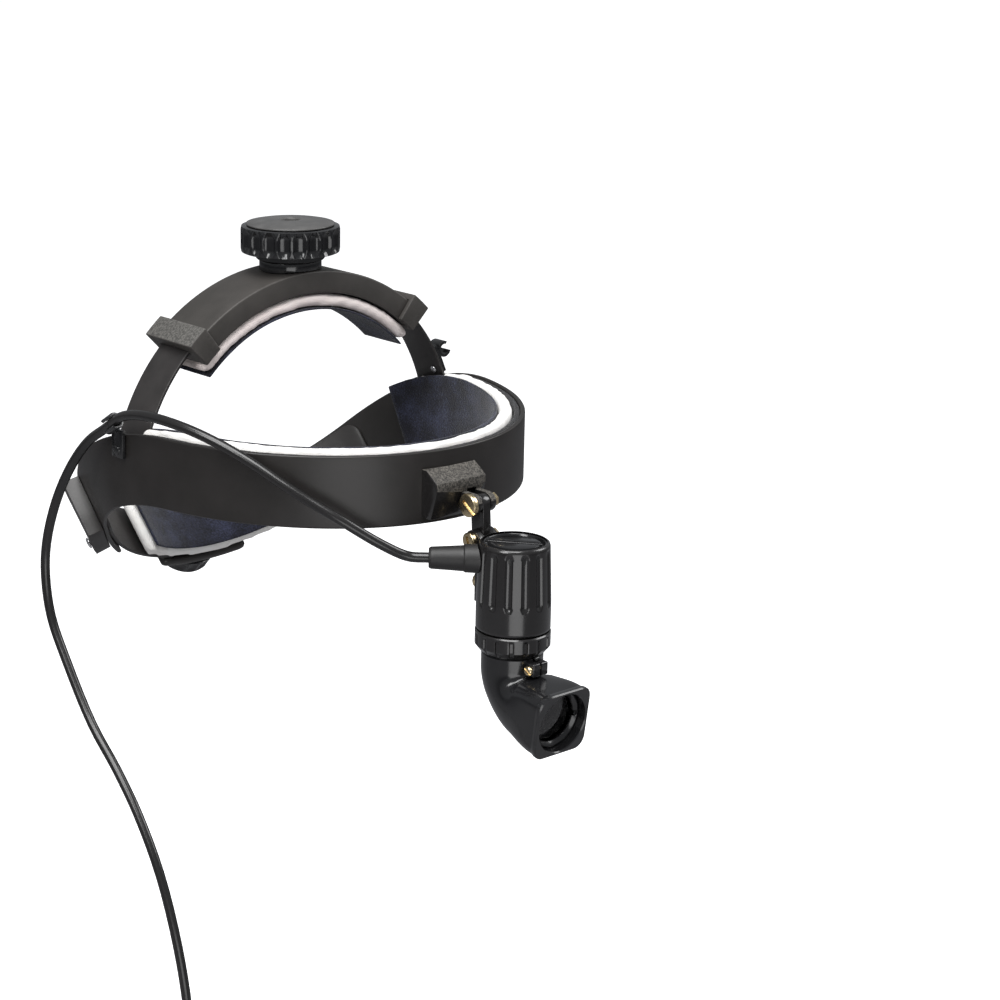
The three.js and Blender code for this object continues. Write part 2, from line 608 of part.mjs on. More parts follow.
function addCrown() {
  const half = CROWN_WIDTH / 2;
  const span = [-CROWN_HALF_SPAN, CROWN_HALF_SPAN];
  const whole = arch(crownInner, crownOuter, ...span, CROWN_Y - half, CROWN_Y + half);
  const channel = arch(
    crownInner - 1, crownOuter - CROWN_WALL, -CROWN_HALF_SPAN - 2, CROWN_HALF_SPAN + 2,
    CROWN_Y - half + CROWN_WALL, CROWN_Y + half - CROWN_WALL,
  );
  const shaftHole = disc(SHAFT_RADIUS + RUN, 40, 100).translate(0, CROWN_Y, 0);
  add('crown_shell', cut(whole, channel, shaftHole), 'crownGrey');

  // A plate closes the channel and carries the pad
  const plateHalf = half - CROWN_WALL - GAP;
  const plate = arch(crownInner, crownInner + 1.2, ...span, CROWN_Y - plateHalf, CROWN_Y + plateHalf);
  add('crown_plate', plate, 'matteBlack');
  const padOut = crownInner - GAP;
  const padSpan = [-CROWN_PAD_HALF_SPAN, CROWN_PAD_HALF_SPAN];
  const padIn = padOut - CROWN_FOAM_THICK;
  add('crown_foam', arch(padIn, padOut, ...padSpan, CROWN_Y - half, CROWN_Y + half), 'pinkFoam');
  const liningOuter = padIn - GAP;
  const lining = arch(
    liningOuter - LINING_THICK, liningOuter, ...padSpan, CROWN_Y - half + 0.6, CROWN_Y + half - 0.6,
  );
  add('crown_lining', lining, 'velour');

  const collarHalf = half + COLLAR_OVERHANG;
  for (const { name, sign } of SIDES) {
    const span2 = (a, b) => [sign * a, sign * b].sort((p, q) => p - q);
    const from = CROWN_HALF_SPAN - 4;
    const to = CROWN_HALF_SPAN + 2.6;
    const body = arch(
      crownInner, crownOuter + COLLAR_THICK, ...span2(from, to),
      CROWN_Y - collarHalf, CROWN_Y + collarHalf, 6,
    );
    const seat = arch(
      crownInner - 1, crownOuter + GAP, ...span2(from - 1, CROWN_HALF_SPAN + 0.3),
      CROWN_Y - half - GAP, CROWN_Y + half + GAP, 8,
    );
    const slotHalf = STRAP_WIDTH / 2 + GAP;
    const slot = arch(
      strapRadius - STRAP_THICK / 2 - GAP, strapRadius + STRAP_THICK / 2 + GAP, ...span2(from, to + 2),
      CROWN_Y - slotHalf, CROWN_Y + slotHalf, 8,
    );
    add(`crown_collar_${name}`, cut(body, seat, slot), 'roughGrey');

    // Side strap with its rack: the right one runs behind the pinion, the left in front
    const rackReach = 12;
    const strap = arch(
      strapRadius - STRAP_THICK / 2, strapRadius + STRAP_THICK / 2, ...span2(-rackReach, STRAP_FOOT),
      CROWN_Y - STRAP_WIDTH / 2, CROWN_Y + STRAP_WIDTH / 2, 20,
    );
    const spare = sign < 0
      ? block(-24, 60, CROWN_Y - 20, CROWN_Y + RACK_EDGE, 40, 90)
      : block(-60, 24, CROWN_Y - RACK_EDGE, CROWN_Y + 20, 40, 90);
    const teeth = [];
    for (let i = -5; i <= 5; i += 1) {
      const pitch = (2 * Math.PI * PINION_RADIUS) / PINION_TEETH;
      const edge = CROWN_Y - sign * RACK_EDGE;
      const [y0, y1] = [edge - 1, edge - sign * RACK_TOOTH].sort((p, q) => p - q);
      teeth.push(block(i * pitch - 0.8, i * pitch + 0.8, y0, y1, 60, 75));
    }
    const pegHole = crossRod(2.7, sign < 0 ? -95 : 75, sign < 0 ? -75 : 95, CROWN_Y, strapFootZ + 6);
    add(`side_strap_${name}`, cut(strap, spare, pegHole, ...teeth), 'matteBlack');
  }

  // Height knob
  const collarHigh = crownTopZ + GAP + KNOB_COLLAR_HEIGHT;
  const seatRing = arch(0, crownOuter + GAP, -20, 20, CROWN_Y - 30, CROWN_Y + 30, 20);
  const knobCollar = tube(SHAFT_RADIUS + RUN, KNOB_COLLAR_RADIUS, crownTopZ - 3, collarHigh)
    .translate(0, CROWN_Y, 0);
  add('crown_knob_collar', cut(knobCollar, seatRing), 'glossBlack');

  const neckLow = collarHigh + GAP;
  const gripLow = neckLow + KNOB_NECK_HEIGHT;
  const gripHigh = gripLow + CROWN_KNOB_HEIGHT;
  const grip = flutedGrip(CROWN_KNOB_RADIUS, CROWN_KNOB_HEIGHT, 20, SHAFT_RADIUS + GAP, gripLow);
  const neck = tube(SHAFT_RADIUS + GAP, KNOB_COLLAR_RADIUS + 1.3, neckLow, gripLow + 1);
  add('crown_knob_grip', join(grip, neck).translate(0, CROWN_Y, 0), 'glossBlack');
  const capLow = gripHigh + GAP;
  const cap = turned([
    [4.3, capLow], [18.9, capLow], [18.9, capLow + 0.7], [14, capLow + 1.7], [8, capLow + 2.2],
    [5, capLow + 2.3], [4.3, capLow + 1.8], [4.3, capLow],
  ]);
  add('crown_knob_cap', cap.translate(0, CROWN_Y, 0), 'shell');
  const wheelHigh = CROWN_CENTRE_Z + crownOuter - CROWN_WALL - GAP;
  const shaft = disc(SHAFT_RADIUS, wheelHigh - PINION_HEIGHT, gripHigh);
  const wheel = toothedWheel(PINION_RADIUS, PINION_TEETH, wheelHigh - PINION_HEIGHT, wheelHigh);
  add('crown_knob_shaft', join(wheel, shaft).translate(0, CROWN_Y, 0), 'steel');
}

// ---------------------------------------------------------------- bracket and arm

// A slotted screw along X: head on the wearer's right, nut on the left.
function slottedScrew(headRadius, pivot) {
  const reach = EAR_INSIDE + EAR_THICK + GAP;
  const rod = crossRod(PIN_RADIUS, -reach - 0.5, reach + 2.2, pivot.x, pivot.y);
  const head = crossRod(headRadius, -reach - SCREW_HEAD_THICK, -reach, pivot.x, pivot.y, FINE);
  const nut = crossRod(3, reach, reach + 2.2, pivot.x, pivot.y, 6);
  const slot = new THREE.BoxGeometry(1.4, 0.9, 4 * headRadius)
    .rotateX(radians(35))
    .translate(-reach - SCREW_HEAD_THICK, pivot.x, pivot.y);
  return cut(join(rod, head, nut), slot);
}

function addArm() {
  const face = -RING_HALF_DEPTH;
  const profile = [
    [face + 4, BRACKET_TOP], [face - GAP, BRACKET_TOP], [face - BRACKET_DEPTH, BRACKET_TOP - 4.5],
    [face - BRACKET_DEPTH, BRACKET_TOP - 7.5], [face - BRACKET_DEPTH / 2, BRACKET_BOTTOM],
    [face + 4, BRACKET_BOTTOM],
  ];
  const wedge = sidePlate(
    profile, BRACKET_MIDDLE_X - BRACKET_WIDTH / 2, BRACKET_MIDDLE_X + BRACKET_WIDTH / 2,
  );
  const ears = [-1, 1].map((sign) => {
    const [x0, x1] = [sign * EAR_INSIDE, sign * (EAR_INSIDE + EAR_THICK)].sort((a, b) => a - b);
    const root = new THREE.Vector2(face - 2, ARM_PIVOT.y);
    return linkPlate(ARM_PIVOT, root, EAR_RADIUS, x0, x1);
  });
  const behind = bandStrip(-20, 20, -12, GAP, -30, 30);
  const bore = crossRod(PIN_RADIUS + RUN, -20, 20, ARM_PIVOT.x, ARM_PIVOT.y);
  const channel = block(
    -EAR_INSIDE, EAR_INSIDE, ARM_PIVOT.x - 10, face - 3,
    ARM_PIVOT.y - 20, ARM_PIVOT.y + EAR_RADIUS + 1,
  );
  add('lamp_bracket', cut(join(wedge, ...ears), behind, bore, channel), 'roughGrey');

  const linkHalf = EAR_INSIDE - GAP;
  const link = linkPlate(ARM_PIVOT, LAMP_PIVOT, EAR_RADIUS - 0.3, -linkHalf, linkHalf);
  const holes = [ARM_PIVOT, LAMP_PIVOT].map((p) => crossRod(PIN_RADIUS + RUN, -9, 9, p.x, p.y));
  add('arm_link', cut(link, ...holes), 'glossBlack');
  add('arm_screw_upper', slottedScrew(SCREW_HEAD_RADIUS, ARM_PIVOT), 'brass');
  add('arm_screw_lower', slottedScrew(LOWER_HEAD_RADIUS, LAMP_PIVOT), 'brass');

  // The plate on the back of the barrel has ears for the lower screw
  const plateOuter = LAMP_Y + BARREL_RADIUS + GAP + MOUNT_PLATE_THICK;
  const plateEars = [-1, 1].map((sign) => {
    const [x0, x1] = [sign * EAR_INSIDE, sign * (EAR_INSIDE + EAR_THICK)].sort((a, b) => a - b);
    const root = new THREE.Vector2(plateOuter - 1, LAMP_PIVOT.y - 2);
    return linkPlate(LAMP_PIVOT, root, EAR_RADIUS, x0, x1);
  });
  const plateHalf = EAR_INSIDE + EAR_THICK;
  const plate = block(
    -plateHalf, plateHalf, LAMP_Y + BARREL_RADIUS - 3, plateOuter,
    LAMP_PIVOT.y - 25, LAMP_PIVOT.y - 1,
  );
  const barrelRoom = disc(BARREL_RADIUS + GAP, -90, 10).translate(0, LAMP_Y, 0);
  const pivotBore = crossRod(PIN_RADIUS + RUN, -20, 20, LAMP_PIVOT.x, LAMP_PIVOT.y);
  const linkRoom = block(
    -EAR_INSIDE, EAR_INSIDE, LAMP_PIVOT.x - EAR_RADIUS - 0.6, LAMP_PIVOT.x + 8,
    LAMP_PIVOT.y - EAR_RADIUS - 0.6, LAMP_PIVOT.y + 8,
  );
  const fixingZ = LAMP_PIVOT.y - 18;
  const fixingHole = disc(1.7, -10, 10, COARSE).rotateX(-Math.PI / 2).translate(0, plateOuter, fixingZ);
  const mount = cut(join(plate, ...plateEars), barrelRoom, pivotBore, linkRoom, fixingHole);
  add('lamp_mount_plate', mount, 'glossBlack');
  const screw = turned([
    [0, -MOUNT_PLATE_THICK], [1.5, -MOUNT_PLATE_THICK], [1.5, 2],
    [3.4, 2], [3.4, 3.3], [2.4, 4.1], [0, 4.1],
  ], COARSE);
  add('lamp_mount_screw', screw.rotateX(-Math.PI / 2).translate(0, plateOuter, fixingZ), 'brass');
}

// ---------------------------------------------------------------- lamp

// A round or rounded-square loop in the plane across the elbow's axis.
function mouthLoop(radius, half, corner, share, count) {
  const loop = [];
  for (let i = 0; i < count; i += 1) {
    const angle = (2 * Math.PI * i) / count;
    const [c, s] = [Math.cos(angle), Math.sin(angle)];
    const flat = half - corner;
    const [ax, ay] = [Math.abs(c), Math.abs(s)];
    let square = half / Math.max(ax, ay);
    if (Math.min(ax, ay) * square > flat) {
      const b = flat * (ax + ay);
      square = b + Math.sqrt(b * b - 2 * flat * flat + corner * corner);
    }
    const r = radius + (square - radius) * share;
    loop.push([r * c, r * s]);
  }
  return loop;
}

// A solid through a list of loops, each [x, y, z] points, closed at both ends.
function loft(loops) {
  const count = loops[0].length;
  const positions = loops.flat(2);
  const index = [];
  for (let k = 0; k + 1 < loops.length; k += 1) {
    for (let i = 0; i < count; i += 1) {
      const [a, b] = [k * count + i, k * count + ((i + 1) % count)];
      index.push(a, b, b + count, a, b + count, a + count);
    }
  }
  const last = (loops.length - 1) * count;
  for (let i = 1; i + 1 < count; i += 1) {
    index.push(0, i + 1, i);
    index.push(last, last + i, last + i + 1);
  }
  const geometry = new THREE.BufferGeometry();
  geometry.setAttribute('position', new THREE.Float32BufferAttribute(positions, 3));
  geometry.setIndex(index);
  return closed(geometry);
}

// Where the elbow's axis is after a run along it, and which way it points.
function elbowAxis(run) {
  const straight = FOCUS_BOTTOM - GAP - ELBOW_BEND_START;
  const bend = THREE.MathUtils.clamp((run - straight) / ELBOW_BEND_RADIUS, 0, ELBOW_BEND);
  const before = Math.min(run, straight);
  const beyond = Math.max(run - straight - ELBOW_BEND_RADIUS * ELBOW_BEND, 0);
  const forward = new THREE.Vector3(0, -Math.sin(bend), -Math.cos(bend));
  const at = new THREE.Vector3(
    0,
    LAMP_Y - ELBOW_BEND_RADIUS * (1 - Math.cos(bend)),
    FOCUS_BOTTOM - GAP - before - ELBOW_BEND_RADIUS * Math.sin(bend),
  ).addScaledVector(forward, beyond);
  return { at, forward };
}

const elbowLength = FOCUS_BOTTOM - GAP - ELBOW_BEND_START + ELBOW_BEND_RADIUS * ELBOW_BEND + MOUTH_RUN;

// A loft along the elbow's axis, whose section goes from round to rounded square.
function elbowBody(radius, half, corner, from, to, steps, squareFrom) {
  const loops = [];
  for (let i = 0; i <= steps; i += 1) {
    const run = from + ((to - from) * i) / steps;
    const { at, forward } = elbowAxis(run);
    const up = new THREE.Vector3(1, 0, 0).cross(forward);
    const share = THREE.MathUtils.smoothstep(run, squareFrom, elbowLength - 1);
    loops.push(mouthLoop(radius, half, corner, share, FINE).map(([u, v]) => (
      [at.x + u, at.y + v * up.y, at.z + v * up.z]
    )));
  }
  return loft(loops);
}

// Places a piece made about +Z on the elbow's axis, +Z towards the mouth.
function onElbow(geometry, run) {
  const { at, forward } = elbowAxis(run);
  const turn = new THREE.Quaternion().setFromUnitVectors(new THREE.Vector3(0, 0, 1), forward);
  return geometry.applyQuaternion(turn).translate(at.x, at.y, at.z);
}

function addLamp() {
  const onAxis = (geometry) => geometry.translate(0, LAMP_Y, 0);
  const inner = BARREL_RADIUS - BARREL_WALL;
  const neckInner = NECK_RADIUS - NECK_WALL;
  const neckBottom = FOCUS_BOTTOM - 4.5;

  // Barrel with its neck, and grooves in groups on the outside
  const grooves = [];
  for (const middle of [-68, 112]) {
    for (let i = 0; i < 5; i += 1) {
      const angle = radians(middle + (i - 2) * 13);
      const groove = new THREE.CapsuleGeometry(1.05, 17, 1, 5)
        .rotateX(Math.PI / 2)
        .translate(BARREL_RADIUS * Math.cos(angle), BARREL_RADIUS * Math.sin(angle), BARREL_TOP - 14.5);
      grooves.push(groove);
    }
  }
  const barrel = turned([
    [inner, BARREL_TOP], [BARREL_RADIUS - 0.8, BARREL_TOP], [BARREL_RADIUS, BARREL_TOP - 0.8],
    [BARREL_RADIUS, BARREL_BOTTOM + 0.8], [BARREL_RADIUS - 0.8, BARREL_BOTTOM],
    [NECK_RADIUS, BARREL_BOTTOM],
    [NECK_RADIUS, neckBottom], [neckInner, neckBottom], [neckInner, BARREL_BOTTOM + 2],
    [inner, BARREL_BOTTOM + 2], [inner, BARREL_TOP],
  ]);
  add('lamp_barrel', onAxis(cut(barrel, ...grooves)), 'glossBlack');

  // Cap with two D-shaped lobes on each side of a slot
  const capTop = BARREL_TOP - 0.4;
  const capRadius = inner - GAP;
  const cap = turned([
    [0, capTop - 4], [capRadius, capTop - 4], [capRadius, capTop - 1.4],
    [capRadius - 1.2, capTop - 1.4], [capRadius - 1.2, capTop], [0, capTop],
  ]);
  const slot = new THREE.BoxGeometry(3.2, 40, 3).rotateZ(radians(-52)).translate(0, 0, capTop);
  add('lamp_cap', onAxis(cut(cap, slot)), 'glossBlack');

  // Light source: heat sink, board, emitter and condenser lens, one above the other
  const sinkTop = capTop - 4 - GAP;
  const sinkBottom = sinkTop - 12;
  const finCuts = [];
  for (let i = 0; i < 3; i += 1) {
    const finLow = sinkTop - 2.4 - 2.6 * i;
    finCuts.push(tube(7, 20, finLow, finLow + 1.2));
  }
  const sink = turned([[0, sinkBottom], [inner - GAP, sinkBottom], [inner - GAP, sinkTop], [0, sinkTop]]);
  add('heat_sink', onAxis(cut(sink, ...finCuts)), 'aluminium');
  const boardBottom = sinkBottom - GAP - 1.2;
  const board = disc(inner - 1, boardBottom, sinkBottom - GAP);
  const emitter = block(-2.5, 2.5, -2.5, 2.5, boardBottom - 1.2, boardBottom + 0.5);
  add('light_source', onAxis(join(board, emitter)), 'emitter');
  const lensLow = BARREL_BOTTOM + 2 + GAP;
  const lens = turned([
    [0, lensLow], [neckInner, lensLow], [inner - GAP, lensLow], [inner - GAP, lensLow + 2],
    [9, lensLow + 4.6], [5, lensLow + 6.2], [0, lensLow + 6.8],
  ]);
  add('condenser_lens', onAxis(lens), 'glass');

  // Focus ring around the neck, faceted, with a chamfer below
  const ringTop = BARREL_BOTTOM - GAP;
  const facetRadius = BARREL_RADIUS + 0.5;
  const ringFacets = [];
  for (let i = 0; i < 16; i += 1) {
    const angle = radians(22.5 * i);
    ringFacets.push(new THREE.BoxGeometry(1.2, 1.2, 6)
      .rotateZ(Math.PI / 4 + angle)
      .translate(facetRadius * Math.cos(angle), facetRadius * Math.sin(angle), ringTop - 4));
  }
  const ring = turned([
    [NECK_RADIUS + RUN, ringTop], [BARREL_RADIUS + 0.2, ringTop], [BARREL_RADIUS + 0.2, FOCUS_BOTTOM + 3],
    [ELBOW_RADIUS + 0.3, FOCUS_BOTTOM], [NECK_RADIUS + RUN, FOCUS_BOTTOM], [NECK_RADIUS + RUN, ringTop],
  ]);
  add('focus_ring', onAxis(cut(ring, ...ringFacets)), 'glossBlack');

  addElbow(neckBottom);

  // Strain relief on the side of the barrel
  const bootBase = BARREL_RADIUS - 2;
  const bootTip = BARREL_RADIUS + BOOT_LENGTH;
  const boot = turned([
    [0, bootBase], [5.8, bootBase], [5.6, BARREL_RADIUS + 5], [5.1, BARREL_RADIUS + 5.4],
    [4.3, bootTip - 0.6], [3.8, bootTip], [0, bootTip],
  ]);
  const turn = new THREE.Quaternion().setFromUnitVectors(new THREE.Vector3(0, 0, 1), BOOT_DIRECTION);
  boot.applyQuaternion(turn).translate(0, LAMP_Y, BOOT_Z);
  add('strain_relief', cut(boot, onAxis(disc(BARREL_RADIUS + GAP, -60, 0))), 'rubber');
}

function addElbow(neckBottom) {
  const outerBody = elbowBody(ELBOW_RADIUS, MOUTH_HALF, MOUTH_CORNER, 0, elbowLength, 9, 14);
  const innerBore = elbowBody(
    ELBOW_RADIUS - ELBOW_WALL, MOUTH_HALF, MOUTH_CORNER, -1, elbowLength + 1, 9, 1000,
  );
  const lensSeat = onElbow(disc(MOUTH_BORE + GAP, -LENS_DEPTH + BEZEL_THICK - 3, 5), elbowLength);
  const collarRoom = turned([[0, neckBottom - 1], [NECK_RADIUS + RUN, neckBottom - 1],
    [NECK_RADIUS + RUN, 0], [0, 0]]).translate(0, LAMP_Y, 0);

  // Two ears at the front of the neck pinch it on the barrel
  const earY = LAMP_Y - ELBOW_RADIUS;
  const earZ = FOCUS_BOTTOM - 4;
  const lug = block(-4, 4, earY - 4.2, earY + 2, earZ - 2.6, earZ + 2.8);
  const split = block(-0.6, 0.6, earY - 6, earY + 3, FOCUS_BOTTOM - 6.6, 0);
  const hole = crossRod(1.1, -10, 10, earY - 2, earZ);
  const rim = new THREE.Shape(
    mouthLoop(0, MOUTH_HALF + 0.4, MOUTH_CORNER, 1, FINE).map((p) => new THREE.Vector2(...p)),
  );
  const bezel = new THREE.ExtrudeGeometry(rim, { depth: BEZEL_THICK + 1, bevelEnabled: false })
    .translate(0, 0, -1);
  const outside = join(outerBody, lug, onElbow(bezel, elbowLength));
  const elbow = cut(outside, innerBore, lensSeat, collarRoom, split, hole);
  add('elbow', elbow, 'glossBlack');
  const screw = join(
    crossRod(0.9, -4.6, 5, earY - 2, earZ),
    crossRod(2, -4 - GAP - 1.2, -4 - GAP, earY - 2, earZ),
  );
  add('pinch_screw', screw, 'brass');

  // Mirror across the bend, lens and its ring inside the mouth, and the square rim
  const half = ELBOW_RADIUS - ELBOW_WALL - 0.6;
  const middle = elbowAxis(FOCUS_BOTTOM - GAP - ELBOW_BEND_START + (ELBOW_BEND_RADIUS * ELBOW_BEND) / 2);
  const normal = new THREE.Vector3(0, -Math.sin(Math.PI / 4), Math.cos(Math.PI / 4));
  const turn = new THREE.Quaternion().setFromUnitVectors(new THREE.Vector3(0, 0, 1), normal);
  const mirror = turned([[0, -0.8], [half, -0.8], [half, 0.8], [0, 0.8]])
    .applyQuaternion(turn)
    .translate(0, middle.at.y + 1.4, middle.at.z - 1.4);
  add('mirror', mirror, 'steel');

  const lensFront = BEZEL_THICK - LENS_DEPTH;
  const lens = turned([
    [0, lensFront - 2.4], [MOUTH_BORE - GAP, lensFront - 2.4], [MOUTH_BORE - GAP, lensFront - 1.4],
    [8, lensFront - 0.4], [0, lensFront],
  ]);
  add('front_lens', onElbow(lens, elbowLength), 'glass');
  const retainer = tube(MOUTH_BORE - 2, MOUTH_BORE - 0.05, lensFront - 1.4 + GAP + 1.2, lensFront + 2);
  add('lens_retainer', onElbow(retainer, elbowLength), 'matteBlack');
}

// ---------------------------------------------------------------- clips and cord

// An open C-shaped clip around a line along +Z, open towards +X.
function openClip(inner, outer, length) {
  const shape = new THREE.Shape();
  const mouth = radians(42);
  shape.absarc(0, 0, outer, mouth, 2 * Math.PI - mouth, false);
  shape.absarc(0, 0, inner, 2 * Math.PI - mouth, mouth, true);
  const options = { depth: length, bevelEnabled: false, curveSegments: 9 };
  return closed(new THREE.ExtrudeGeometry(shape, options).translate(0, 0, -length / 2));
}

function addClips() {
  const inner = CORD_RADIUS + GAP;
  const outer = inner + 1.3;
  const length = 7;

  // Right: stands on the shell's top edge and holds the cord
  const before = new THREE.Vector3(...LEAD_POINTS.at(-1));
  const after = new THREE.Vector3(...TAIL_POINTS[0]);
  const middle = before.clone().add(after).multiplyScalar(0.5);
  const along = after.clone().sub(before).normalize();
  const outward = new THREE.Vector3(-1, 0, 0);
  const across = along.clone().cross(outward).normalize();
  const frame = new THREE.Matrix4().makeBasis(outward, across, along).setPosition(middle);
  const rightClip = openClip(inner, outer, length).applyMatrix4(frame);
  const shellFace = bandPoint(90, 0, 0).x;
  const foot = block(shellFace - 1.9, shellFace - GAP, middle.y - 4, middle.y + 4, 2, 14);
  const rivet = turned([[0, -0.5], [2.2, -0.5], [2, 0.7], [0, 1]], COARSE).rotateY(-Math.PI / 2)
    .translate(shellFace - 1.9, middle.y, 5.2);
  add('cable_clip_right', join(rightClip, foot, rivet), 'glossBlack');

  // Left: riveted on the outside of the side strap near its front edge, empty
  const clipY = CROWN_Y - 5;
  const angle = radians(62);
  const radial = new THREE.Vector3(Math.sin(angle), 0, Math.cos(angle));
  const tangent = new THREE.Vector3(Math.cos(angle), 0, -Math.sin(angle));
  const seat = strapRadius + STRAP_THICK / 2 + GAP;
  const centre = radial.clone().multiplyScalar(seat + 1.4 + outer);
  const place = new THREE.Matrix4()
    .makeBasis(radial, tangent, radial.clone().cross(tangent))
    .setPosition(centre.x, clipY, CROWN_CENTRE_Z + centre.z);
  const leftClip = openClip(inner, outer, length).applyMatrix4(place);
  const base = arch(seat, seat + 1.9, 59, 68, clipY - length / 2, clipY + length / 2, 4);
  add('cable_clip_left', join(leftClip, base), 'glossBlack');
  const headAngle = radians(66.5);
  const head = turned([[0, 0], [1.8, 0], [1.6, 0.6], [0, 0.9]], COARSE)
    .applyQuaternion(new THREE.Quaternion().setFromUnitVectors(
      new THREE.Vector3(0, 0, 1), new THREE.Vector3(-Math.sin(headAngle), 0, -Math.cos(headAngle)),
    ));
  const headRadius = strapRadius - STRAP_THICK / 2 - GAP;
  head.translate(
    headRadius * Math.sin(headAngle), clipY, CROWN_CENTRE_Z + headRadius * Math.cos(headAngle),
  );
  add('clip_rivet_left', head, 'steel');
}

function addCord() {
  add('cord_lead', cordTube(LEAD_POINTS, 17), 'rubber');
  add('cord_tail', cordTube(TAIL_POINTS, 34), 'rubber');

  const section = [];
  for (let i = 0; i <= 10; i += 1) {
    const angle = (2 * Math.PI * i) / 10;
    section.push([COIL_RADIUS + COIL_SECTION * Math.cos(angle), COIL_SECTION * Math.sin(angle)]);
  }
  const coil = turned(section).rotateY(Math.PI / 2).translate(...COIL_CENTRE.toArray());
  add('cord_coil', coil, 'rubber');

  // A strip wrapped round the top of the coil keeps its turns together
  const tie = tube(COIL_SECTION + 0.9, COIL_SECTION + 2, -4, 4, COARSE).rotateX(Math.PI / 2);
  const { x, y, z } = COIL_CENTRE;
  const beside = radians(TIE_ANGLE);
  tie.translate(0, 0, COIL_RADIUS).rotateX(beside);
  add('coil_tie', tie.translate(x, y, z), 'rubber');

  // In-line plug where the cord leaves the back of the coil: a sleeve on a body, and a nut
  const outside = COIL_RADIUS + COIL_SECTION;
  const plugTop = z - Math.sqrt(outside ** 2 - (COIL_RADIUS - CORD_RADIUS) ** 2) - GAP;
  const nutTop = -PLUG_SLEEVE - PLUG_LENGTH - GAP;
  const at = (geometry) => geometry.translate(x, y + COIL_RADIUS, plugTop);
  add('plug_body', at(turned([
    [0, nutTop + GAP], [PLUG_RADIUS - 1, nutTop + GAP], [PLUG_RADIUS, -PLUG_SLEEVE - 2],
    [PLUG_RADIUS - 0.8, -PLUG_SLEEVE], [3.9, -PLUG_SLEEVE], [2.9, -4], [CORD_RADIUS, -4],
    [CORD_RADIUS, 0], [0, 0],
  ], COARSE)), 'aluminium');
  add('plug_nut', at(turned([
    [0, nutTop - PLUG_NUT], [PLUG_RADIUS + 0.2, nutTop - PLUG_NUT], [PLUG_RADIUS + 0.2, nutTop - 0.8],
    [PLUG_RADIUS - 0.6, nutTop], [0, nutTop],
  ], COARSE)), 'steel');
}

addFront();
addRear();
addCrown();
addArm();
addLamp();
addClips();
addCord();

export default group;
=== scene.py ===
"""Looks of a head-worn examination lamp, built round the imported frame.

Metres, +Z up. The wearer looks along -Y and has the right hand at -X. The origin is the
middle of the head at the height of the brow band.
"""

import logging
import math
from collections.abc import Callable, Iterable, Sequence
from dataclasses import dataclass, field
from enum import Enum
from typing import Protocol

import bmesh
import bpy
from mathutils import Matrix, Vector, noise


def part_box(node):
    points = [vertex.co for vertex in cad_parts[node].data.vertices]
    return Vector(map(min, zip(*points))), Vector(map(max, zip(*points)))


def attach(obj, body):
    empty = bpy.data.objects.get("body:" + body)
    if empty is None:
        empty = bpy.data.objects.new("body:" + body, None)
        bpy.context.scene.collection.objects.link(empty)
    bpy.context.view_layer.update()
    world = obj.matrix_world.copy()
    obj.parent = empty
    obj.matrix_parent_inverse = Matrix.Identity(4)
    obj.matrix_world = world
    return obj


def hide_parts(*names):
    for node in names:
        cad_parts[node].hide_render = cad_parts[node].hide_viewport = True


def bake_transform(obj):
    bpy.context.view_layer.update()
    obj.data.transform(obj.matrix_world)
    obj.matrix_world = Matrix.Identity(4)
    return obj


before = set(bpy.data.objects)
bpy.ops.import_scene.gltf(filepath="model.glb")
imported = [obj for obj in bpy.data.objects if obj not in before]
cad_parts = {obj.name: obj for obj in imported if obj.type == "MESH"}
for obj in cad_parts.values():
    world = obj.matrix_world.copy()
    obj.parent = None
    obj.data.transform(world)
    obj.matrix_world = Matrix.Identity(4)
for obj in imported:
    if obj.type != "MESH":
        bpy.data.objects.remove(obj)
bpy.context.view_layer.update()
LOG = logging.getLogger("head_lamp")

MM = 0.001
# A side length that leaves a section's sides whole, so that all its loops have as many points
UNSPLIT = 1.0
# A point nearer than this to an axis counts as lying on it
ON_AXIS = 1e-9
# How long a pad's cloth simulation runs
CLOTH_FRAMES = 20
UP = Vector((0, 0, 1))
Relief = Callable[[float, float, float], float]
Outline = list[tuple[float, float]]
Loop = list[Vector]
Colour = tuple[float, float, float]


class Body(Enum):
    """The rigid bodies that pieces ride on."""

    ROOT = "root"
    CROWN = "crown"
    CROWN_KNOB = "crown_knob"
    STRAP_RIGHT = "side_strap_right"
    STRAP_LEFT = "side_strap_left"
    REAR = "rear_band"
    REAR_KNOB = "rear_knob"
    ARM = "arm"
    LAMP = "lamp"
    LAMP_CAP = "lamp_cap"
    FOCUS = "focus_ring"
    ELBOW = "elbow"


class Side(Enum):
    """Which side of the wearer a piece is on, with the sign of X there."""

    RIGHT = -1
    LEFT = 1

    @property
    def word(self) -> str:
        """The side's name in lower case, as node names have it."""
        return self.name.lower()


class Texture(Enum):
    """How a finish varies over its surface."""

    MOULDED = "moulded_grain"
    SPECKLED = "rough_speckle"
    PILE = "cloth_pile"
    FOAM = "foam_cells"
    TURNED = "turned_lines"


# ---------------------------------------------------------------- finishes


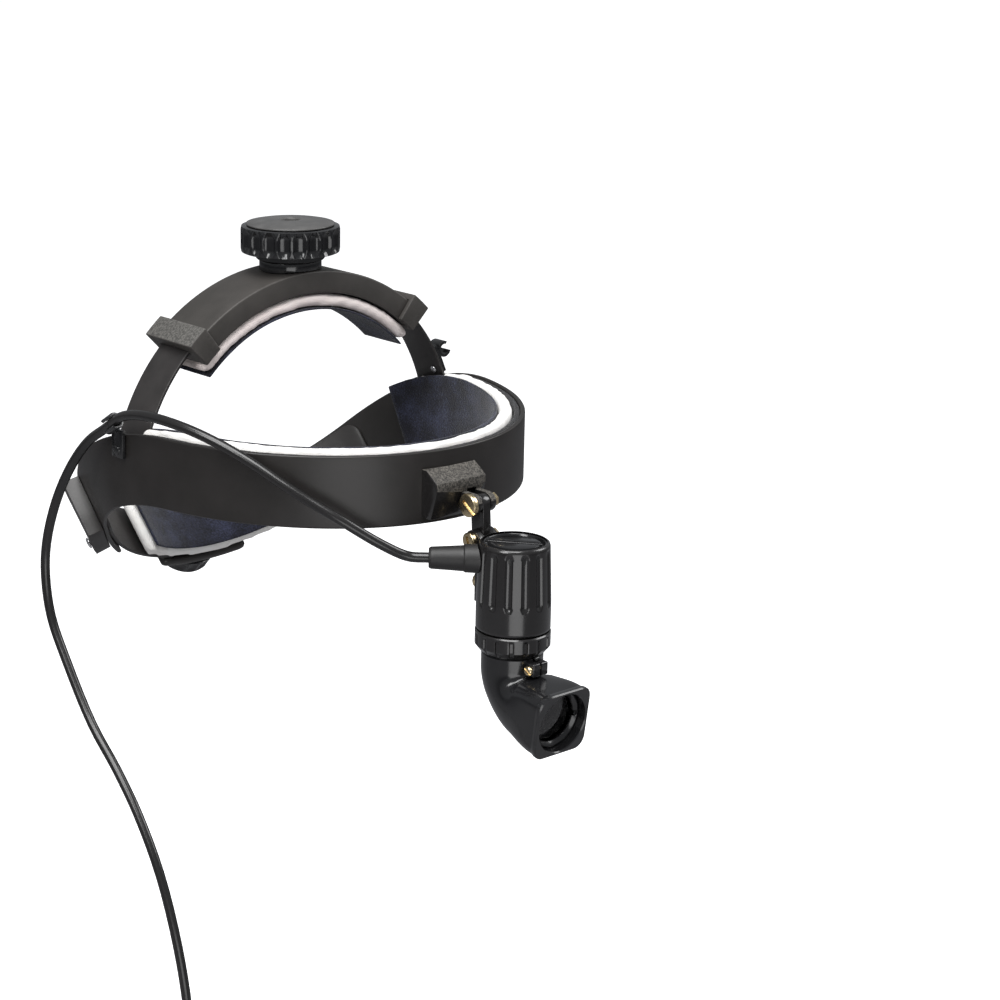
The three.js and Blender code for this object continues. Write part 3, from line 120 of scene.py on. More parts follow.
def new_group(name: str) -> bpy.types.NodeTree:
    """Makes an empty shader group with the sockets that all textures share.

    Args:
        name: the group's name.

    Returns:
        The group, with a Group Input node named "in" and a Group Output node named "out".
    """
    tree = bpy.data.node_groups.new(name, "ShaderNodeTree")
    for label in ("Base", "Second"):
        tree.interface.new_socket(label, in_out="INPUT", socket_type="NodeSocketColor")
    for label in ("Scale", "Roughness", "Spread"):
        tree.interface.new_socket(label, in_out="INPUT", socket_type="NodeSocketFloat")
    tree.interface.new_socket("Color", in_out="OUTPUT", socket_type="NodeSocketColor")
    tree.interface.new_socket("Roughness", in_out="OUTPUT", socket_type="NodeSocketFloat")
    tree.interface.new_socket("Height", in_out="OUTPUT", socket_type="NodeSocketFloat")
    tree.nodes.new("NodeGroupInput").name = "in"
    tree.nodes.new("NodeGroupOutput").name = "out"
    return tree


def add(tree: bpy.types.NodeTree, kind: str, **inputs: object) -> bpy.types.Node:
    """Adds a node and sets or links its inputs.

    Args:
        tree: the tree that gets the node.
        kind: the node's type without its ShaderNode prefix.
        **inputs: a value or an output socket for each input, named with _ for a space.

    Returns:
        The new node.
    """
    node = tree.nodes.new("ShaderNode" + kind)
    for key, value in inputs.items():
        if hasattr(node, key) and not isinstance(value, bpy.types.NodeSocket):
            setattr(node, key, value)
            continue
        socket = node.inputs[int(key[1:])] if key[1:].isdigit() else node.inputs[key.replace("_", " ")]
        if isinstance(value, bpy.types.NodeSocket):
            tree.links.new(value, socket)
        else:
            socket.default_value = value
    return node


def blended(tree: bpy.types.NodeTree, share: object, first: object, second: object) -> object:
    """Mixes two colours by a share and returns the mixed colour's socket."""
    node = tree.nodes.new("ShaderNodeMix")
    node.data_type = "RGBA"
    for index, value in ((0, share), (6, first), (7, second)):
        if isinstance(value, bpy.types.NodeSocket):
            tree.links.new(value, node.inputs[index])
        else:
            node.inputs[index].default_value = value
    return node.outputs[2]


def stretched(tree: bpy.types.NodeTree, value: object, low: float, high: float) -> object:
    """Maps low..high to 0..1, clamped, and returns the socket."""
    node = add(tree, "MapRange", Value=value, From_Min=low, From_Max=high)
    return node.outputs["Result"]


def close_group(tree: bpy.types.NodeTree, share: object, height: object, rough: object) -> None:
    """Wires a texture's colour share, height and roughness share to its group's outputs.

    Args:
        tree: the group.
        share: how much of the second colour shows.
        height: the relief.
        rough: 0..1, which spreads the roughness round its middle.
    """
    source, sink = tree.nodes["in"], tree.nodes["out"]
    colour = blended(tree, share, source.outputs["Base"], source.outputs["Second"])
    centred = add(tree, "Math", operation="SUBTRACT", _0=rough, _1=0.5)
    spread = add(tree, "Math", operation="MULTIPLY", _0=centred.outputs[0], _1=source.outputs["Spread"])
    total = add(
        tree, "Math", operation="ADD", use_clamp=True,
        _0=spread.outputs[0], _1=source.outputs["Roughness"],
    )
    tree.links.new(colour, sink.inputs["Color"])
    tree.links.new(total.outputs[0], sink.inputs["Roughness"])
    tree.links.new(height, sink.inputs["Height"])


def scaled_noise(
    tree: bpy.types.NodeTree, factor: float, detail: float, roughness: float = 0.5
) -> object:
    """A noise whose scale is the group's own scale times a factor; returns its value socket."""
    place = tree.nodes.get("place") or add(tree, "TexCoord")
    place.name = "place"
    scale = add(tree, "Math", operation="MULTIPLY", _0=tree.nodes["in"].outputs["Scale"], _1=factor)
    cloud = add(
        tree, "TexNoise", Vector=place.outputs["Object"], Scale=scale.outputs[0],
        Detail=detail, Roughness=roughness,
    )
    return cloud.outputs["Fac"]


def moulded_grain() -> bpy.types.NodeTree:
    """Moulded plastic or paint: fine grain, broad smudges, a little lighter where handled."""
    tree = new_group(Texture.MOULDED.value)
    grain = scaled_noise(tree, 1.0, 3.0)
    smudge = scaled_noise(tree, 0.02, 4.0, 0.6)
    handled = stretched(tree, smudge, 0.35, 0.75)
    close_group(tree, handled, grain, smudge)
    return tree


def rough_speckle() -> bpy.types.NodeTree:
    """Coarse cast texture: light grains over a dark ground."""
    tree = new_group(Texture.SPECKLED.value)
    fine = scaled_noise(tree, 1.0, 2.0, 0.7)
    coarse = scaled_noise(tree, 0.35, 2.0, 0.7)
    both = add(tree, "Math", operation="MULTIPLY", _0=fine, _1=coarse).outputs[0]
    grains = stretched(tree, both, 0.19, 0.33)
    close_group(tree, grains, both, fine)
    return tree


def cloth_pile() -> bpy.types.NodeTree:
    """Felt or velour: short fibres that catch the light in patches."""
    tree = new_group(Texture.PILE.value)
    fibre = scaled_noise(tree, 1.0, 2.0, 0.8)
    brushed = scaled_noise(tree, 0.06, 3.0, 0.6)
    lit = add(tree, "Math", operation="MULTIPLY", _0=fibre, _1=brushed).outputs[0]
    close_group(tree, stretched(tree, lit, 0.2, 0.42), fibre, brushed)
    return tree


def foam_cells() -> bpy.types.NodeTree:
    """Open-cell foam: fine pores and slight stains."""
    tree = new_group(Texture.FOAM.value)
    source = tree.nodes["in"]
    place = add(tree, "TexCoord")
    place.name = "place"
    cells = add(
        tree, "TexVoronoi", Vector=place.outputs["Object"], Scale=source.outputs["Scale"],
    ).outputs["Distance"]
    stain = scaled_noise(tree, 0.04, 3.0)
    pores = stretched(tree, cells, 0.05, 0.5)
    dark = add(tree, "Math", operation="MULTIPLY", _0=stretched(tree, stain, 0.4, 0.8), _1=0.6).outputs[0]
    close_group(tree, dark, pores, cells)
    return tree


def turned_lines() -> bpy.types.NodeTree:
    """Metal off a lathe or a die: fine lines with faint tarnish."""
    tree = new_group(Texture.TURNED.value)
    lines = scaled_noise(tree, 1.0, 1.0)
    tarnish = scaled_noise(tree, 0.12, 4.0, 0.65)
    close_group(tree, stretched(tree, tarnish, 0.42, 0.72), lines, tarnish)
    return tree


def painted_edge_highlight() -> bpy.types.NodeTree:
    """Painted edge highlight: lightens convex edges, in patches, as if light caught them."""
    tree = bpy.data.node_groups.new("painted_edge_highlight", "ShaderNodeTree")
    for label in ("Color", "Worn"):
        tree.interface.new_socket(label, in_out="INPUT", socket_type="NodeSocketColor")
    tree.interface.new_socket("Amount", in_out="INPUT", socket_type="NodeSocketFloat")
    tree.interface.new_socket("Color", in_out="OUTPUT", socket_type="NodeSocketColor")
    source, sink = tree.nodes.new("NodeGroupInput"), tree.nodes.new("NodeGroupOutput")
    shape = add(tree, "NewGeometry")
    place = add(tree, "TexCoord")
    patchy = add(tree, "TexNoise", Vector=place.outputs["Object"], Scale=900.0, Detail=3.0)
    # Painted highlight: the sharper the convex edge, the lighter it gets
    edge = stretched(tree, shape.outputs["Pointiness"], 0.52, 0.62)
    lit_edge = add(
        tree, "Math", operation="MULTIPLY", _0=edge, _1=stretched(tree, patchy.outputs["Fac"], 0.3, 0.7)
    )
    share = add(tree, "Math", operation="MULTIPLY", _0=lit_edge.outputs[0], _1=source.outputs["Amount"])
    colour = blended(tree, share.outputs[0], source.outputs["Color"], source.outputs["Worn"])
    tree.links.new(colour, sink.inputs["Color"])
    return tree


TEXTURES = {
    Texture.MOULDED: moulded_grain,
    Texture.SPECKLED: rough_speckle,
    Texture.PILE: cloth_pile,
    Texture.FOAM: foam_cells,
    Texture.TURNED: turned_lines,
}


def group_node(
    tree: bpy.types.NodeTree, name: str, maker: Callable[[], bpy.types.NodeTree]
) -> bpy.types.Node:
    """Places a shader group in a material, making the group the first time."""
    node = tree.nodes.new("ShaderNodeGroup")
    node.node_tree = bpy.data.node_groups.get(name) or maker()
    return node


@dataclass(frozen=True)
class Finish:
    """A surface finish: its record slot, colours and relief.

    Attributes:
        slot: the record's material slot.
        texture: how it varies.
        base: its main colour.
        second: the colour of its specks, fibre tips or smudges.
        roughness: its middle roughness.
        spread: how far the roughness strays from the middle.
        grain: grains per metre.
        depth: the relief's depth in metres.
        highlight_amount: how far the painted edge highlight lightens convex edges, 0..1.
        metallic, coat, sheen, transmission, ior: as on the Principled shader.
    """

    slot: str
    texture: Texture
    base: Colour
    second: Colour
    roughness: float
    spread: float = 0.1
    grain: float = 3000.0
    depth: float = 0.00002
    highlight_amount: float = 0.0
    metallic: float = 0.0
    coat: float = 0.0
    sheen: float = 0.0
    transmission: float = 0.0
    ior: float = 1.5
    name: str = ""

    def material(self) -> bpy.types.Material:
        """Builds the material, once."""
        label = "finish_" + (self.name or self.slot)
        made = bpy.data.materials.get(label)
        if made:
            return made
        made = bpy.data.materials.new(label)
        made.use_nodes = True
        tree = made.node_tree
        shader = tree.nodes["Principled BSDF"]
        pattern = group_node(tree, self.texture.value, TEXTURES[self.texture])
        pattern.inputs["Base"].default_value = (*self.base, 1)
        pattern.inputs["Second"].default_value = (*self.second, 1)
        pattern.inputs["Scale"].default_value = self.grain
        pattern.inputs["Roughness"].default_value = self.roughness
        pattern.inputs["Spread"].default_value = self.spread
        colour = pattern.outputs["Color"]
        # Painted edge highlight: convex edges are lightened towards a pale grey
        if self.highlight_amount:
            highlight_node = group_node(tree, "painted_edge_highlight", painted_edge_highlight)
            highlight_node.inputs["Worn"].default_value = (*[min(1, 4 * c + 0.05) for c in self.second], 1)
            highlight_node.inputs["Amount"].default_value = self.highlight_amount
            tree.links.new(colour, highlight_node.inputs["Color"])
            colour = highlight_node.outputs["Color"]
        tree.links.new(colour, shader.inputs["Base Color"])
        tree.links.new(pattern.outputs["Roughness"], shader.inputs["Roughness"])
        bump = add(tree, "Bump", Height=pattern.outputs["Height"], Distance=self.depth, Strength=1.0)
        tree.links.new(bump.outputs["Normal"], shader.inputs["Normal"])
        shader.inputs["Metallic"].default_value = self.metallic
        shader.inputs["Coat Weight"].default_value = self.coat
        shader.inputs["Coat Roughness"].default_value = 0.12
        shader.inputs["Sheen Weight"].default_value = self.sheen
        shader.inputs["Sheen Roughness"].default_value = 0.4
        shader.inputs["Transmission Weight"].default_value = self.transmission
        shader.inputs["IOR"].default_value = self.ior
        return made


SHELL = Finish(
    "shell_plastic", Texture.MOULDED, (0.013, 0.0115, 0.0105), (0.020, 0.0175, 0.0165), 0.40, 0.12,
    2500.0, 0.00002, highlight_amount=0.25,
)
STRAP = Finish(
    "strap_plastic", Texture.MOULDED, (0.018, 0.016, 0.0155), (0.030, 0.027, 0.026), 0.46, 0.15,
    3500.0, 0.00003, highlight_amount=0.3,
)
CROWN_SKIN = Finish(
    "crown_plastic", Texture.MOULDED, (0.034, 0.031, 0.028), (0.052, 0.047, 0.043), 0.55, 0.12,
    2600.0, 0.00005, highlight_amount=0.35,
)
# Light grains over a dark ground: the bracket's real cast texture, with painted top light, since it goes on
# the up-facing faces only
BRACKET_SPECKLE_LIT_TOP = Finish(
    "speckled_plastic", Texture.SPECKLED, (0.014, 0.0125, 0.011), (0.12, 0.11, 0.096), 0.72, 0.2,
    3000.0, 0.00015,
)
# The collars' speckle, paler than their sides: partly their own speckle, partly painted top light
COLLAR_SPECKLE_LIT_TOP = Finish(
    "speckled_plastic", Texture.SPECKLED, (0.045, 0.043, 0.040), (0.13, 0.125, 0.115), 0.7, 0.2,
    2600.0, 0.00012, name="collar_speckle_lit_top",
)
GLOSS = Finish(
    "gloss_black", Texture.MOULDED, (0.006, 0.006, 0.0065), (0.011, 0.011, 0.012), 0.20, 0.12,
    1800.0, 0.00001, highlight_amount=0.2, coat=0.35,
)
ENAMEL = Finish(
    "lamp_metal", Texture.MOULDED, (0.007, 0.0065, 0.0065), (0.012, 0.011, 0.011), 0.24, 0.1,
    1500.0, 0.00001, highlight_amount=0.15, coat=0.4,
)
# The knob caps' pale grey base: partly their own satin grey, partly a painted sheen
CAP_SATIN_AND_SHEEN = Finish(
    "knob_cap", Texture.MOULDED, (0.062, 0.061, 0.060), (0.10, 0.098, 0.096), 0.34, 0.16,
    5200.0, 0.00004, highlight_amount=0.3,
)
FELT = Finish(
    "felt", Texture.PILE, (0.004, 0.004, 0.005), (0.016, 0.016, 0.020), 0.95, 0.1, 2600.0, 0.0004,
    sheen=0.15,
)
FOAM = Finish(
    "foam", Texture.FOAM, (0.86, 0.85, 0.83), (0.70, 0.66, 0.62), 0.95, 0.1, 1600.0, 0.00015,
)
PINK_FOAM = Finish(
    "crown_foam", Texture.FOAM, (0.86, 0.78, 0.755), (0.74, 0.62, 0.59), 0.95, 0.1, 1600.0, 0.00015,
)
VELOUR = Finish(
    "velour", Texture.PILE, (0.003, 0.0034, 0.009), (0.034, 0.039, 0.076), 0.95, 0.1, 1300.0,
    0.0004, sheen=0.25,
)
BRASS = Finish(
    "brass", Texture.TURNED, (0.80, 0.66, 0.42), (0.52, 0.40, 0.24), 0.26, 0.18, 5000.0, 0.00001,
    metallic=1.0,
)
STEEL = Finish(
    "rivet_steel", Texture.TURNED, (0.68, 0.68, 0.69), (0.40, 0.39, 0.38), 0.26, 0.16, 5000.0,
    0.00001, metallic=1.0,
)
ALUMINIUM = Finish(
    "sink_aluminium", Texture.TURNED, (0.55, 0.56, 0.57), (0.36, 0.36, 0.37), 0.4, 0.12, 4000.0,
    0.00001, metallic=1.0,
)
EMITTER = Finish(
    "emitter", Texture.MOULDED, (0.72, 0.66, 0.32), (0.82, 0.78, 0.50), 0.5, 0.1, 4000.0, 0.00002,
)
GLASS = Finish(
    "lens_glass", Texture.MOULDED, (0.42, 0.41, 0.41), (0.38, 0.37, 0.38), 0.02, 0.02, 800.0,
    0.000001, transmission=1.0, ior=1.52,
)
MIRROR = Finish(
    "mirror_glass", Texture.TURNED, (0.30, 0.24, 0.21), (0.26, 0.21, 0.18), 0.04, 0.03, 900.0,
    0.000001, metallic=1.0,
)
JACKET = Finish(
    "cord_rubber", Texture.MOULDED, (0.010, 0.0095, 0.0095), (0.015, 0.014, 0.014), 0.26, 0.08,
    1400.0, 0.000004, coat=0.15,
)
BOOT = Finish(
    "boot_rubber", Texture.MOULDED, (0.012, 0.0115, 0.0115), (0.020, 0.019, 0.019), 0.5, 0.15,
    3200.0, 0.00004, highlight_amount=0.2,
)
PLUG = Finish(
    "plug_black", Texture.MOULDED, (0.010, 0.010, 0.011), (0.018, 0.018, 0.019), 0.34, 0.12,
    2600.0, 0.00002, highlight_amount=0.35,
)

KEPT_NODES = {
    "temple_peg_right": STEEL, "temple_peg_left": STEEL, "guide_pin_right": STEEL,
    "guide_pin_left": STEEL, "rear_knob_shaft": STEEL, "crown_knob_shaft": STEEL,
    "heat_sink": ALUMINIUM, "light_source": EMITTER, "condenser_lens": GLASS, "mirror": MIRROR,
}


# ---------------------------------------------------------------- mesh helpers


def finished(
    mesh: bpy.types.Mesh,
    name: str,
    finish: Finish,
    body: Body,
    *nodes: str,
    sharp: float = 40.0,
    bends: tuple[Body, Vector, Vector] | None = None,
) -> bpy.types.Object:
    """Turns a mesh into a piece of the object.

    Args:
        mesh: the final mesh, in the row frame.
        name: the piece's name.
        finish: its finish.
        body: the body that it rides on.
        *nodes: the CAD nodes that it stands for.
        sharp: edges sharper than this many degrees stay sharp.
        bends: when given, the piece stays in the world frame instead of riding on its body; the second body
            and places in it are not used.

    Returns:
        The new object.
    """
    mesh.materials.clear()
    mesh.materials.append(finish.material())
    mesh.shade_smooth()
    mesh.set_sharp_from_angle(angle=math.radians(sharp))
    made = bpy.data.objects.new(name, mesh)
    bpy.context.collection.objects.link(made)
    if bends:
        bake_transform(made)
    else:
        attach(made, body.value)
    if nodes:
        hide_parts(*nodes)
    LOG.info("made %s (%d faces) on %s", name, len(mesh.polygons), body.value)
    return made


def mesh_of(name: str, points: Iterable[Vector], faces: Iterable[Sequence[int]]) -> bpy.types.Mesh:
    """Makes a mesh with merged points and faces that point out."""
    mesh = bpy.data.meshes.new(name)
    mesh.from_pydata([tuple(p) for p in points], [], [tuple(f) for f in faces])
    work = bmesh.new()
    work.from_mesh(mesh)
    bmesh.ops.remove_doubles(work, verts=work.verts, dist=1e-7)
    bmesh.ops.dissolve_degenerate(work, dist=1e-7, edges=work.edges)
    bmesh.ops.recalc_face_normals(work, faces=work.faces)
    work.to_mesh(mesh)
    work.free()
    return mesh


def lofted(loops: Sequence[Loop], name: str, ring: bool = False) -> bpy.types.Mesh:
    """Skins a row of loops with equal counts.

    Args:
        loops: the sections, in order.
        name: the mesh's name.
        ring: join the last section to the first instead of closing both ends.

    Returns:
        The closed mesh.
    """
    count = len(loops[0])
    if any(len(loop) != count for loop in loops):
        raise ValueError(f"{name}: the sections have different point counts")
    faces: list[tuple[int, ...]] = []
    rows = len(loops) if ring else len(loops) - 1
    for row in range(rows):
        after = (row + 1) % len(loops)
        for i in range(count):
            j = (i + 1) % count
            faces.append((row * count + i, row * count + j, after * count + j, after * count + i))
    if not ring:
        faces.append(tuple(reversed(range(count))))
        faces.append(tuple(range((len(loops) - 1) * count, len(loops) * count)))
    return mesh_of(name, (p for loop in loops for p in loop), faces)


def rounded(outline: Outline, radius: float, steps: int = 4, is_open: bool = False) -> Outline:
    """Rounds an outline's corners.

    Args:
        outline: its corner points.
        radius: the fillet's radius, less where a side is short.
        steps: points in each fillet.
        is_open: keep the first and last point as they are.

    Returns:
        The rounded outline.
    """
    made: Outline = []
    count = len(outline)
    for i, corner in enumerate(outline):
        if is_open and i in (0, count - 1):
            made.append(corner)
            continue
        here = Vector(corner)
        before, after = Vector(outline[i - 1]) - here, Vector(outline[(i + 1) % count]) - here
        turn = before.angle(after, math.pi)
        if turn > math.radians(172):
            made.append(corner)
            continue
        reach = min(radius / math.tan(turn / 2), 0.48 * before.length, 0.48 * after.length)
        start, end = here + before.normalized() * reach, here + after.normalized() * reach
        for k in range(steps + 1):
            t = k / steps
            made.append(tuple(start * (1 - t) ** 2 + here * 2 * t * (1 - t) + end * t * t))
    return made


def split_sides(outline: Outline, longest: float) -> Outline:
    """Adds points along an outline's long sides, so that it can bend and swell."""
    made: Outline = []
    for i, point in enumerate(outline):
        here, there = Vector(point), Vector(outline[(i + 1) % len(outline)])
        pieces = max(1, math.ceil((there - here).length / longest))
        made.extend(tuple(here.lerp(there, k / pieces)) for k in range(pieces))
    return made


def turned(
    outline: Outline, name: str, sides: int = 96, relief: Relief | None = None
) -> bpy.types.Mesh:
    """Turns an outline about +Z.

    Args:
        outline: points of (radius, height), closed on itself or ending on the axis.
        name: the mesh's name.
        sides: steps round the axis.
        relief: gives the radius at (angle, height, radius), where it isn't round.

    Returns:
        The closed mesh.
    """
    loops = []
    for k in range(sides):
        angle = 2 * math.pi * k / sides
        loop = []
        for radius, height in outline:
            r = relief(angle, height, radius) if relief and radius > 0 else radius
            loop.append(Vector((r * math.cos(angle), r * math.sin(angle), height)))
        loops.append(loop)
    on_axis = abs(outline[0][0]) < ON_AXIS
    count = len(outline)
    faces = []
    for row in range(sides):
        after = (row + 1) % sides
        for i in range(count - 1 if on_axis else count):
            j = (i + 1) % count
            faces.append((row * count + i, row * count + j, after * count + j, after * count + i))
    return mesh_of(name, (p for loop in loops for p in loop), faces)


def moved(
    mesh: bpy.types.Mesh, origin: Sequence[float], axis: Vector = UP, spin: float = 0.0
) -> bpy.types.Mesh:
    """Places a mesh made about +Z: +Z goes along axis, from origin, after a spin in radians."""
    turn = UP.rotation_difference(axis.normalized()).to_matrix().to_4x4()
    mesh.transform(Matrix.Translation(origin) @ turn @ Matrix.Rotation(spin, 4, "Z"))
    return mesh


def carved(mesh: bpy.types.Mesh, cutters: Sequence[bpy.types.Mesh], keep: bool = False) -> bpy.types.Mesh:
    """Cuts meshes out of a mesh, or joins them to it.

    Args:
        mesh: the mesh to cut.
        cutters: the closed meshes to cut with.
        keep: join instead of cutting.

    Returns:
        The new mesh.
    """
    scene = bpy.context.collection
    block = bpy.data.objects.new("block", mesh)
    scene.objects.link(block)
    tools = []
    for cutter in cutters:
        tool = bpy.data.objects.new("tool", cutter)
        scene.objects.link(tool)
        tools.append(tool)
        step = block.modifiers.new("cut", "BOOLEAN")
        step.operation = "UNION" if keep else "DIFFERENCE"
        step.solver = "EXACT"
        step.object = tool
    bpy.context.view_layer.update()
    solid = block.evaluated_get(bpy.context.evaluated_depsgraph_get())
    made = bpy.data.meshes.new_from_object(solid)
    for spare in (block, *tools):
        bpy.data.objects.remove(spare)
    return made


def rod(
    radius: float, low: float, high: float, origin: Sequence[float], axis: Vector = UP
) -> bpy.types.Mesh:
    """A round rod from low to high along an axis through origin."""
    return moved(turned([(0, low), (radius, low), (radius, high), (0, high)], "rod", 48), origin, axis)


def joined(*meshes: bpy.types.Mesh) -> bpy.types.Mesh:
    """Puts several closed meshes into one."""
    work = bmesh.new()
    for mesh in meshes:
        work.from_mesh(mesh)
    made = bpy.data.meshes.new(meshes[0].name)
    work.to_mesh(made)
    work.free()
    return made


def box_mesh(low: Vector, high: Vector, radius: float, name: str = "box") -> bpy.types.Mesh:
    """A box between two corners, its edges rounded."""
    work = bmesh.new()
    bmesh.ops.create_cube(work, size=1.0)
    size, middle = high - low, (low + high) / 2
    for vertex in work.verts:
        vertex.co = Vector(vertex.co[i] * size[i] + middle[i] for i in range(3))
    if radius:
        bmesh.ops.bevel(work, geom=list(work.edges), offset=radius, segments=3, profile=0.5, affect="EDGES")
    made = bpy.data.meshes.new(name)
    work.to_mesh(made)
    work.free()
    return made


def softened(node: str, radius: float, segments: int = 2) -> bpy.types.Mesh:
    """A copy of a CAD node's mesh with its flat faces merged and its edges rounded.

    Args:
        node: the CAD node.
        radius: the rounding's size in metres.
        segments: steps across each rounded edge.

    Returns:
        The new mesh.
    """
    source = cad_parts[node]
    work = bmesh.new()
    work.from_mesh(source.data)
    work.transform(source.matrix_world)
    bmesh.ops.remove_doubles(work, verts=work.verts, dist=2e-6)
    bmesh.ops.dissolve_limit(work, angle_limit=math.radians(2), verts=work.verts, edges=work.edges)
    sharp = [e for e in work.edges if len(e.link_faces) == 2 and e.calc_face_angle(0) > math.radians(32)]
    bmesh.ops.bevel(
        work, geom=sharp, offset=radius, segments=segments, profile=0.5, affect="EDGES",
        clamp_overlap=True,
    )
    bmesh.ops.triangulate(work, faces=[f for f in work.faces if len(f.verts) > 4])
    made = bpy.data.meshes.new(node + "_soft")
    work.to_mesh(made)
    work.free()
    return made


def swell(mesh: bpy.types.Mesh, voxel: float, limit: float, pressure: float = 4.0) -> bpy.types.Mesh:
    """Puffs a pad out with a short cloth simulation.

    Args:
        mesh: the closed pad.
        voxel: the remesh size in metres.
        limit: how far a point may move.
        pressure: the pressure inside.
    """
    scene = bpy.context.scene
    pad = bpy.data.objects.new("pad", mesh)
    bpy.context.collection.objects.link(pad)
    grid = pad.modifiers.new("grid", "REMESH")
    grid.mode = "VOXEL"
    grid.voxel_size = voxel
    bpy.context.view_layer.update()
    rest = bpy.data.meshes.new_from_object(pad.evaluated_get(bpy.context.evaluated_depsgraph_get()))
    pad.modifiers.clear()
    pad.data = rest
    start = [v.co.copy() for v in rest.vertices]
    cloth = pad.modifiers.new("cloth", "CLOTH")
    cloth.settings.use_pressure = True
    cloth.settings.uniform_pressure_force = pressure
    cloth.settings.effector_weights.gravity = 0.0
    cloth.settings.tension_stiffness = 20.0
    cloth.settings.compression_stiffness = 20.0
    cloth.settings.bending_stiffness = 2.0
    cloth.collision_settings.use_collision = False
    for number in range(1, CLOTH_FRAMES + 1):
        scene.frame_set(number)
    puffed = bpy.data.meshes.new_from_object(pad.evaluated_get(bpy.context.evaluated_depsgraph_get()))
    for vertex, origin in zip(puffed.vertices, start):
        step = vertex.co - origin
        if step.length > limit:
            vertex.co = origin + step.normalized() * limit
    bpy.data.objects.remove(pad)
    scene.frame_set(1)
    return smoothed(puffed, 1)


def smoothed(mesh: bpy.types.Mesh, levels: int) -> bpy.types.Mesh:
    """Applies a subdivision surface to a mesh."""
    holder = bpy.data.objects.new("holder", mesh)
    bpy.context.collection.objects.link(holder)
    step = holder.modifiers.new("smooth", "SUBSURF")
    step.levels = step.render_levels = levels
    bpy.context.view_layer.update()
    made = bpy.data.meshes.new_from_object(holder.evaluated_get(bpy.context.evaluated_depsgraph_get()))
    bpy.data.objects.remove(holder)
    return made


def uneven(mesh: bpy.types.Mesh, depth: float, scale: float) -> bpy.types.Mesh:
    """Moves a soft piece's points a little along their normals, as hand-laid foam is uneven."""
    shifts = [depth * noise.noise(v.co * scale) for v in mesh.vertices]
    normals = [v.normal.copy() for v in mesh.vertices]
    for vertex, shift, normal in zip(mesh.vertices, shifts, normals):
        vertex.co += normal * shift
    return mesh


def two_tone(
    piece: bpy.types.Object, finish: Finish, chosen: Callable[[bpy.types.MeshPolygon], bool]
) -> None:
    """Gives the chosen faces of a piece a second finish."""
    piece.data.materials.append(finish.material())
    for face in piece.data.polygons:
        if chosen(face):
            face.material_index = 1


# ---------------------------------------------------------------- paths


class Path(Protocol):
    """A line that sections are swept along."""

    def point(self, at: float, out: float, up: float) -> Vector:
        """The place at a distance along, out of and up from the line."""


@dataclass(frozen=True)
class BandLine:
    """The ring round the head: an ellipse whose rear half bends down to the nape.

    Along it, places are degrees from the brow towards the wearer's right; out is the distance
    outside the shell's outer face and up the height above the band's middle.
    """

    half_width: float = 91 * MM
    half_depth: float = 107.6 * MM
    rear_tilt: float = math.radians(46.5)
    bend_radius: float = 105 * MM
    bend_middle_y: float = 19 * MM

    def point(self, at: float, out: float, up: float) -> Vector:
        """The place at an angle, out of and up from the band's line."""
        angle = math.radians(at)
        normal = Vector(
            (-math.sin(angle) / self.half_width, -math.cos(angle) / self.half_depth)
        ).normalized()
        x = -self.half_width * math.sin(angle) + normal.x * out
        along = -self.half_depth * math.cos(angle) + normal.y * out - self.bend_middle_y
        lead = self.bend_radius * math.tan(self.rear_tilt / 2)
        tilt = min(max((along + lead) / self.bend_radius, 0.0), self.rear_tilt)
        before = min(along + lead, 0.0)
        beyond = max(along + lead - self.bend_radius * self.rear_tilt, 0.0)
        y = before + self.bend_radius * math.sin(tilt) + beyond * math.cos(tilt) - lead
        z = self.bend_radius * (math.cos(tilt) - 1) - beyond * math.sin(tilt)
        return Vector((x, self.bend_middle_y + y + up * math.sin(tilt), z + up * math.cos(tilt)))

    def normal(self, at: float, up: float = 0.0) -> Vector:
        """The way out of the band at an angle."""
        return (self.point(at, MM, up) - self.point(at, 0.0, up)).normalized()


@dataclass(frozen=True)
class CrownLine:
    """The arc over the head.

    Along it, places are degrees from the top towards the wearer's left; out is the distance
    from the arc's centre and up the distance behind the crown's middle.
    """

    middle_y: float = 5 * MM
    centre_z: float = -18.6 * MM

    def point(self, at: float, out: float, up: float) -> Vector:
        """The place at an angle, a radius and a distance behind the crown's middle."""
        angle = math.radians(at)
        return Vector((out * math.sin(angle), self.middle_y + up, self.centre_z + out * math.cos(angle)))


@dataclass(frozen=True)
class Fits:
    """Sizes that pieces of different sub-assemblies share where one runs in another."""

    run: float = 0.2 * MM
    gap: float = 0.3 * MM
    guide_angle: float = 127.0
    guide_radius: float = 2 * MM
    guide_slot: tuple[float, float] = (120.9, 128.9)
    shaft_radius: float = 3 * MM
    strap_radius: float = 87 * MM
    strap_thick: float = 1.4 * MM
    strap_half: float = 10 * MM
    strap_foot: float = 84.0
    peg_rise: float = 6 * MM
    peg_hole: float = 2.7 * MM

    @property
    def foot_z(self) -> float:
        """The height of a side strap's foot."""
        return CROWN.centre_z + self.strap_radius * math.cos(math.radians(self.strap_foot))

    def pocket(self, side: Side) -> bpy.types.Mesh:
        """The room for a side strap between the brow shell and its pad."""
        inner = self.strap_radius - self.strap_thick / 2 - self.gap
        reach = self.strap_half + self.gap
        room = slab(inner, inner + 14 * MM, -reach, reach, 0.1 * MM, UNSPLIT)
        first, last = sorted((side.value * 55.0, side.value * (self.strap_foot + 1.5)))
        return swept(CROWN, first, last, lambda at: room, "pocket", 1.5, 0.05 * MM)


BAND = BandLine()
CROWN = CrownLine()
FITS = Fits()


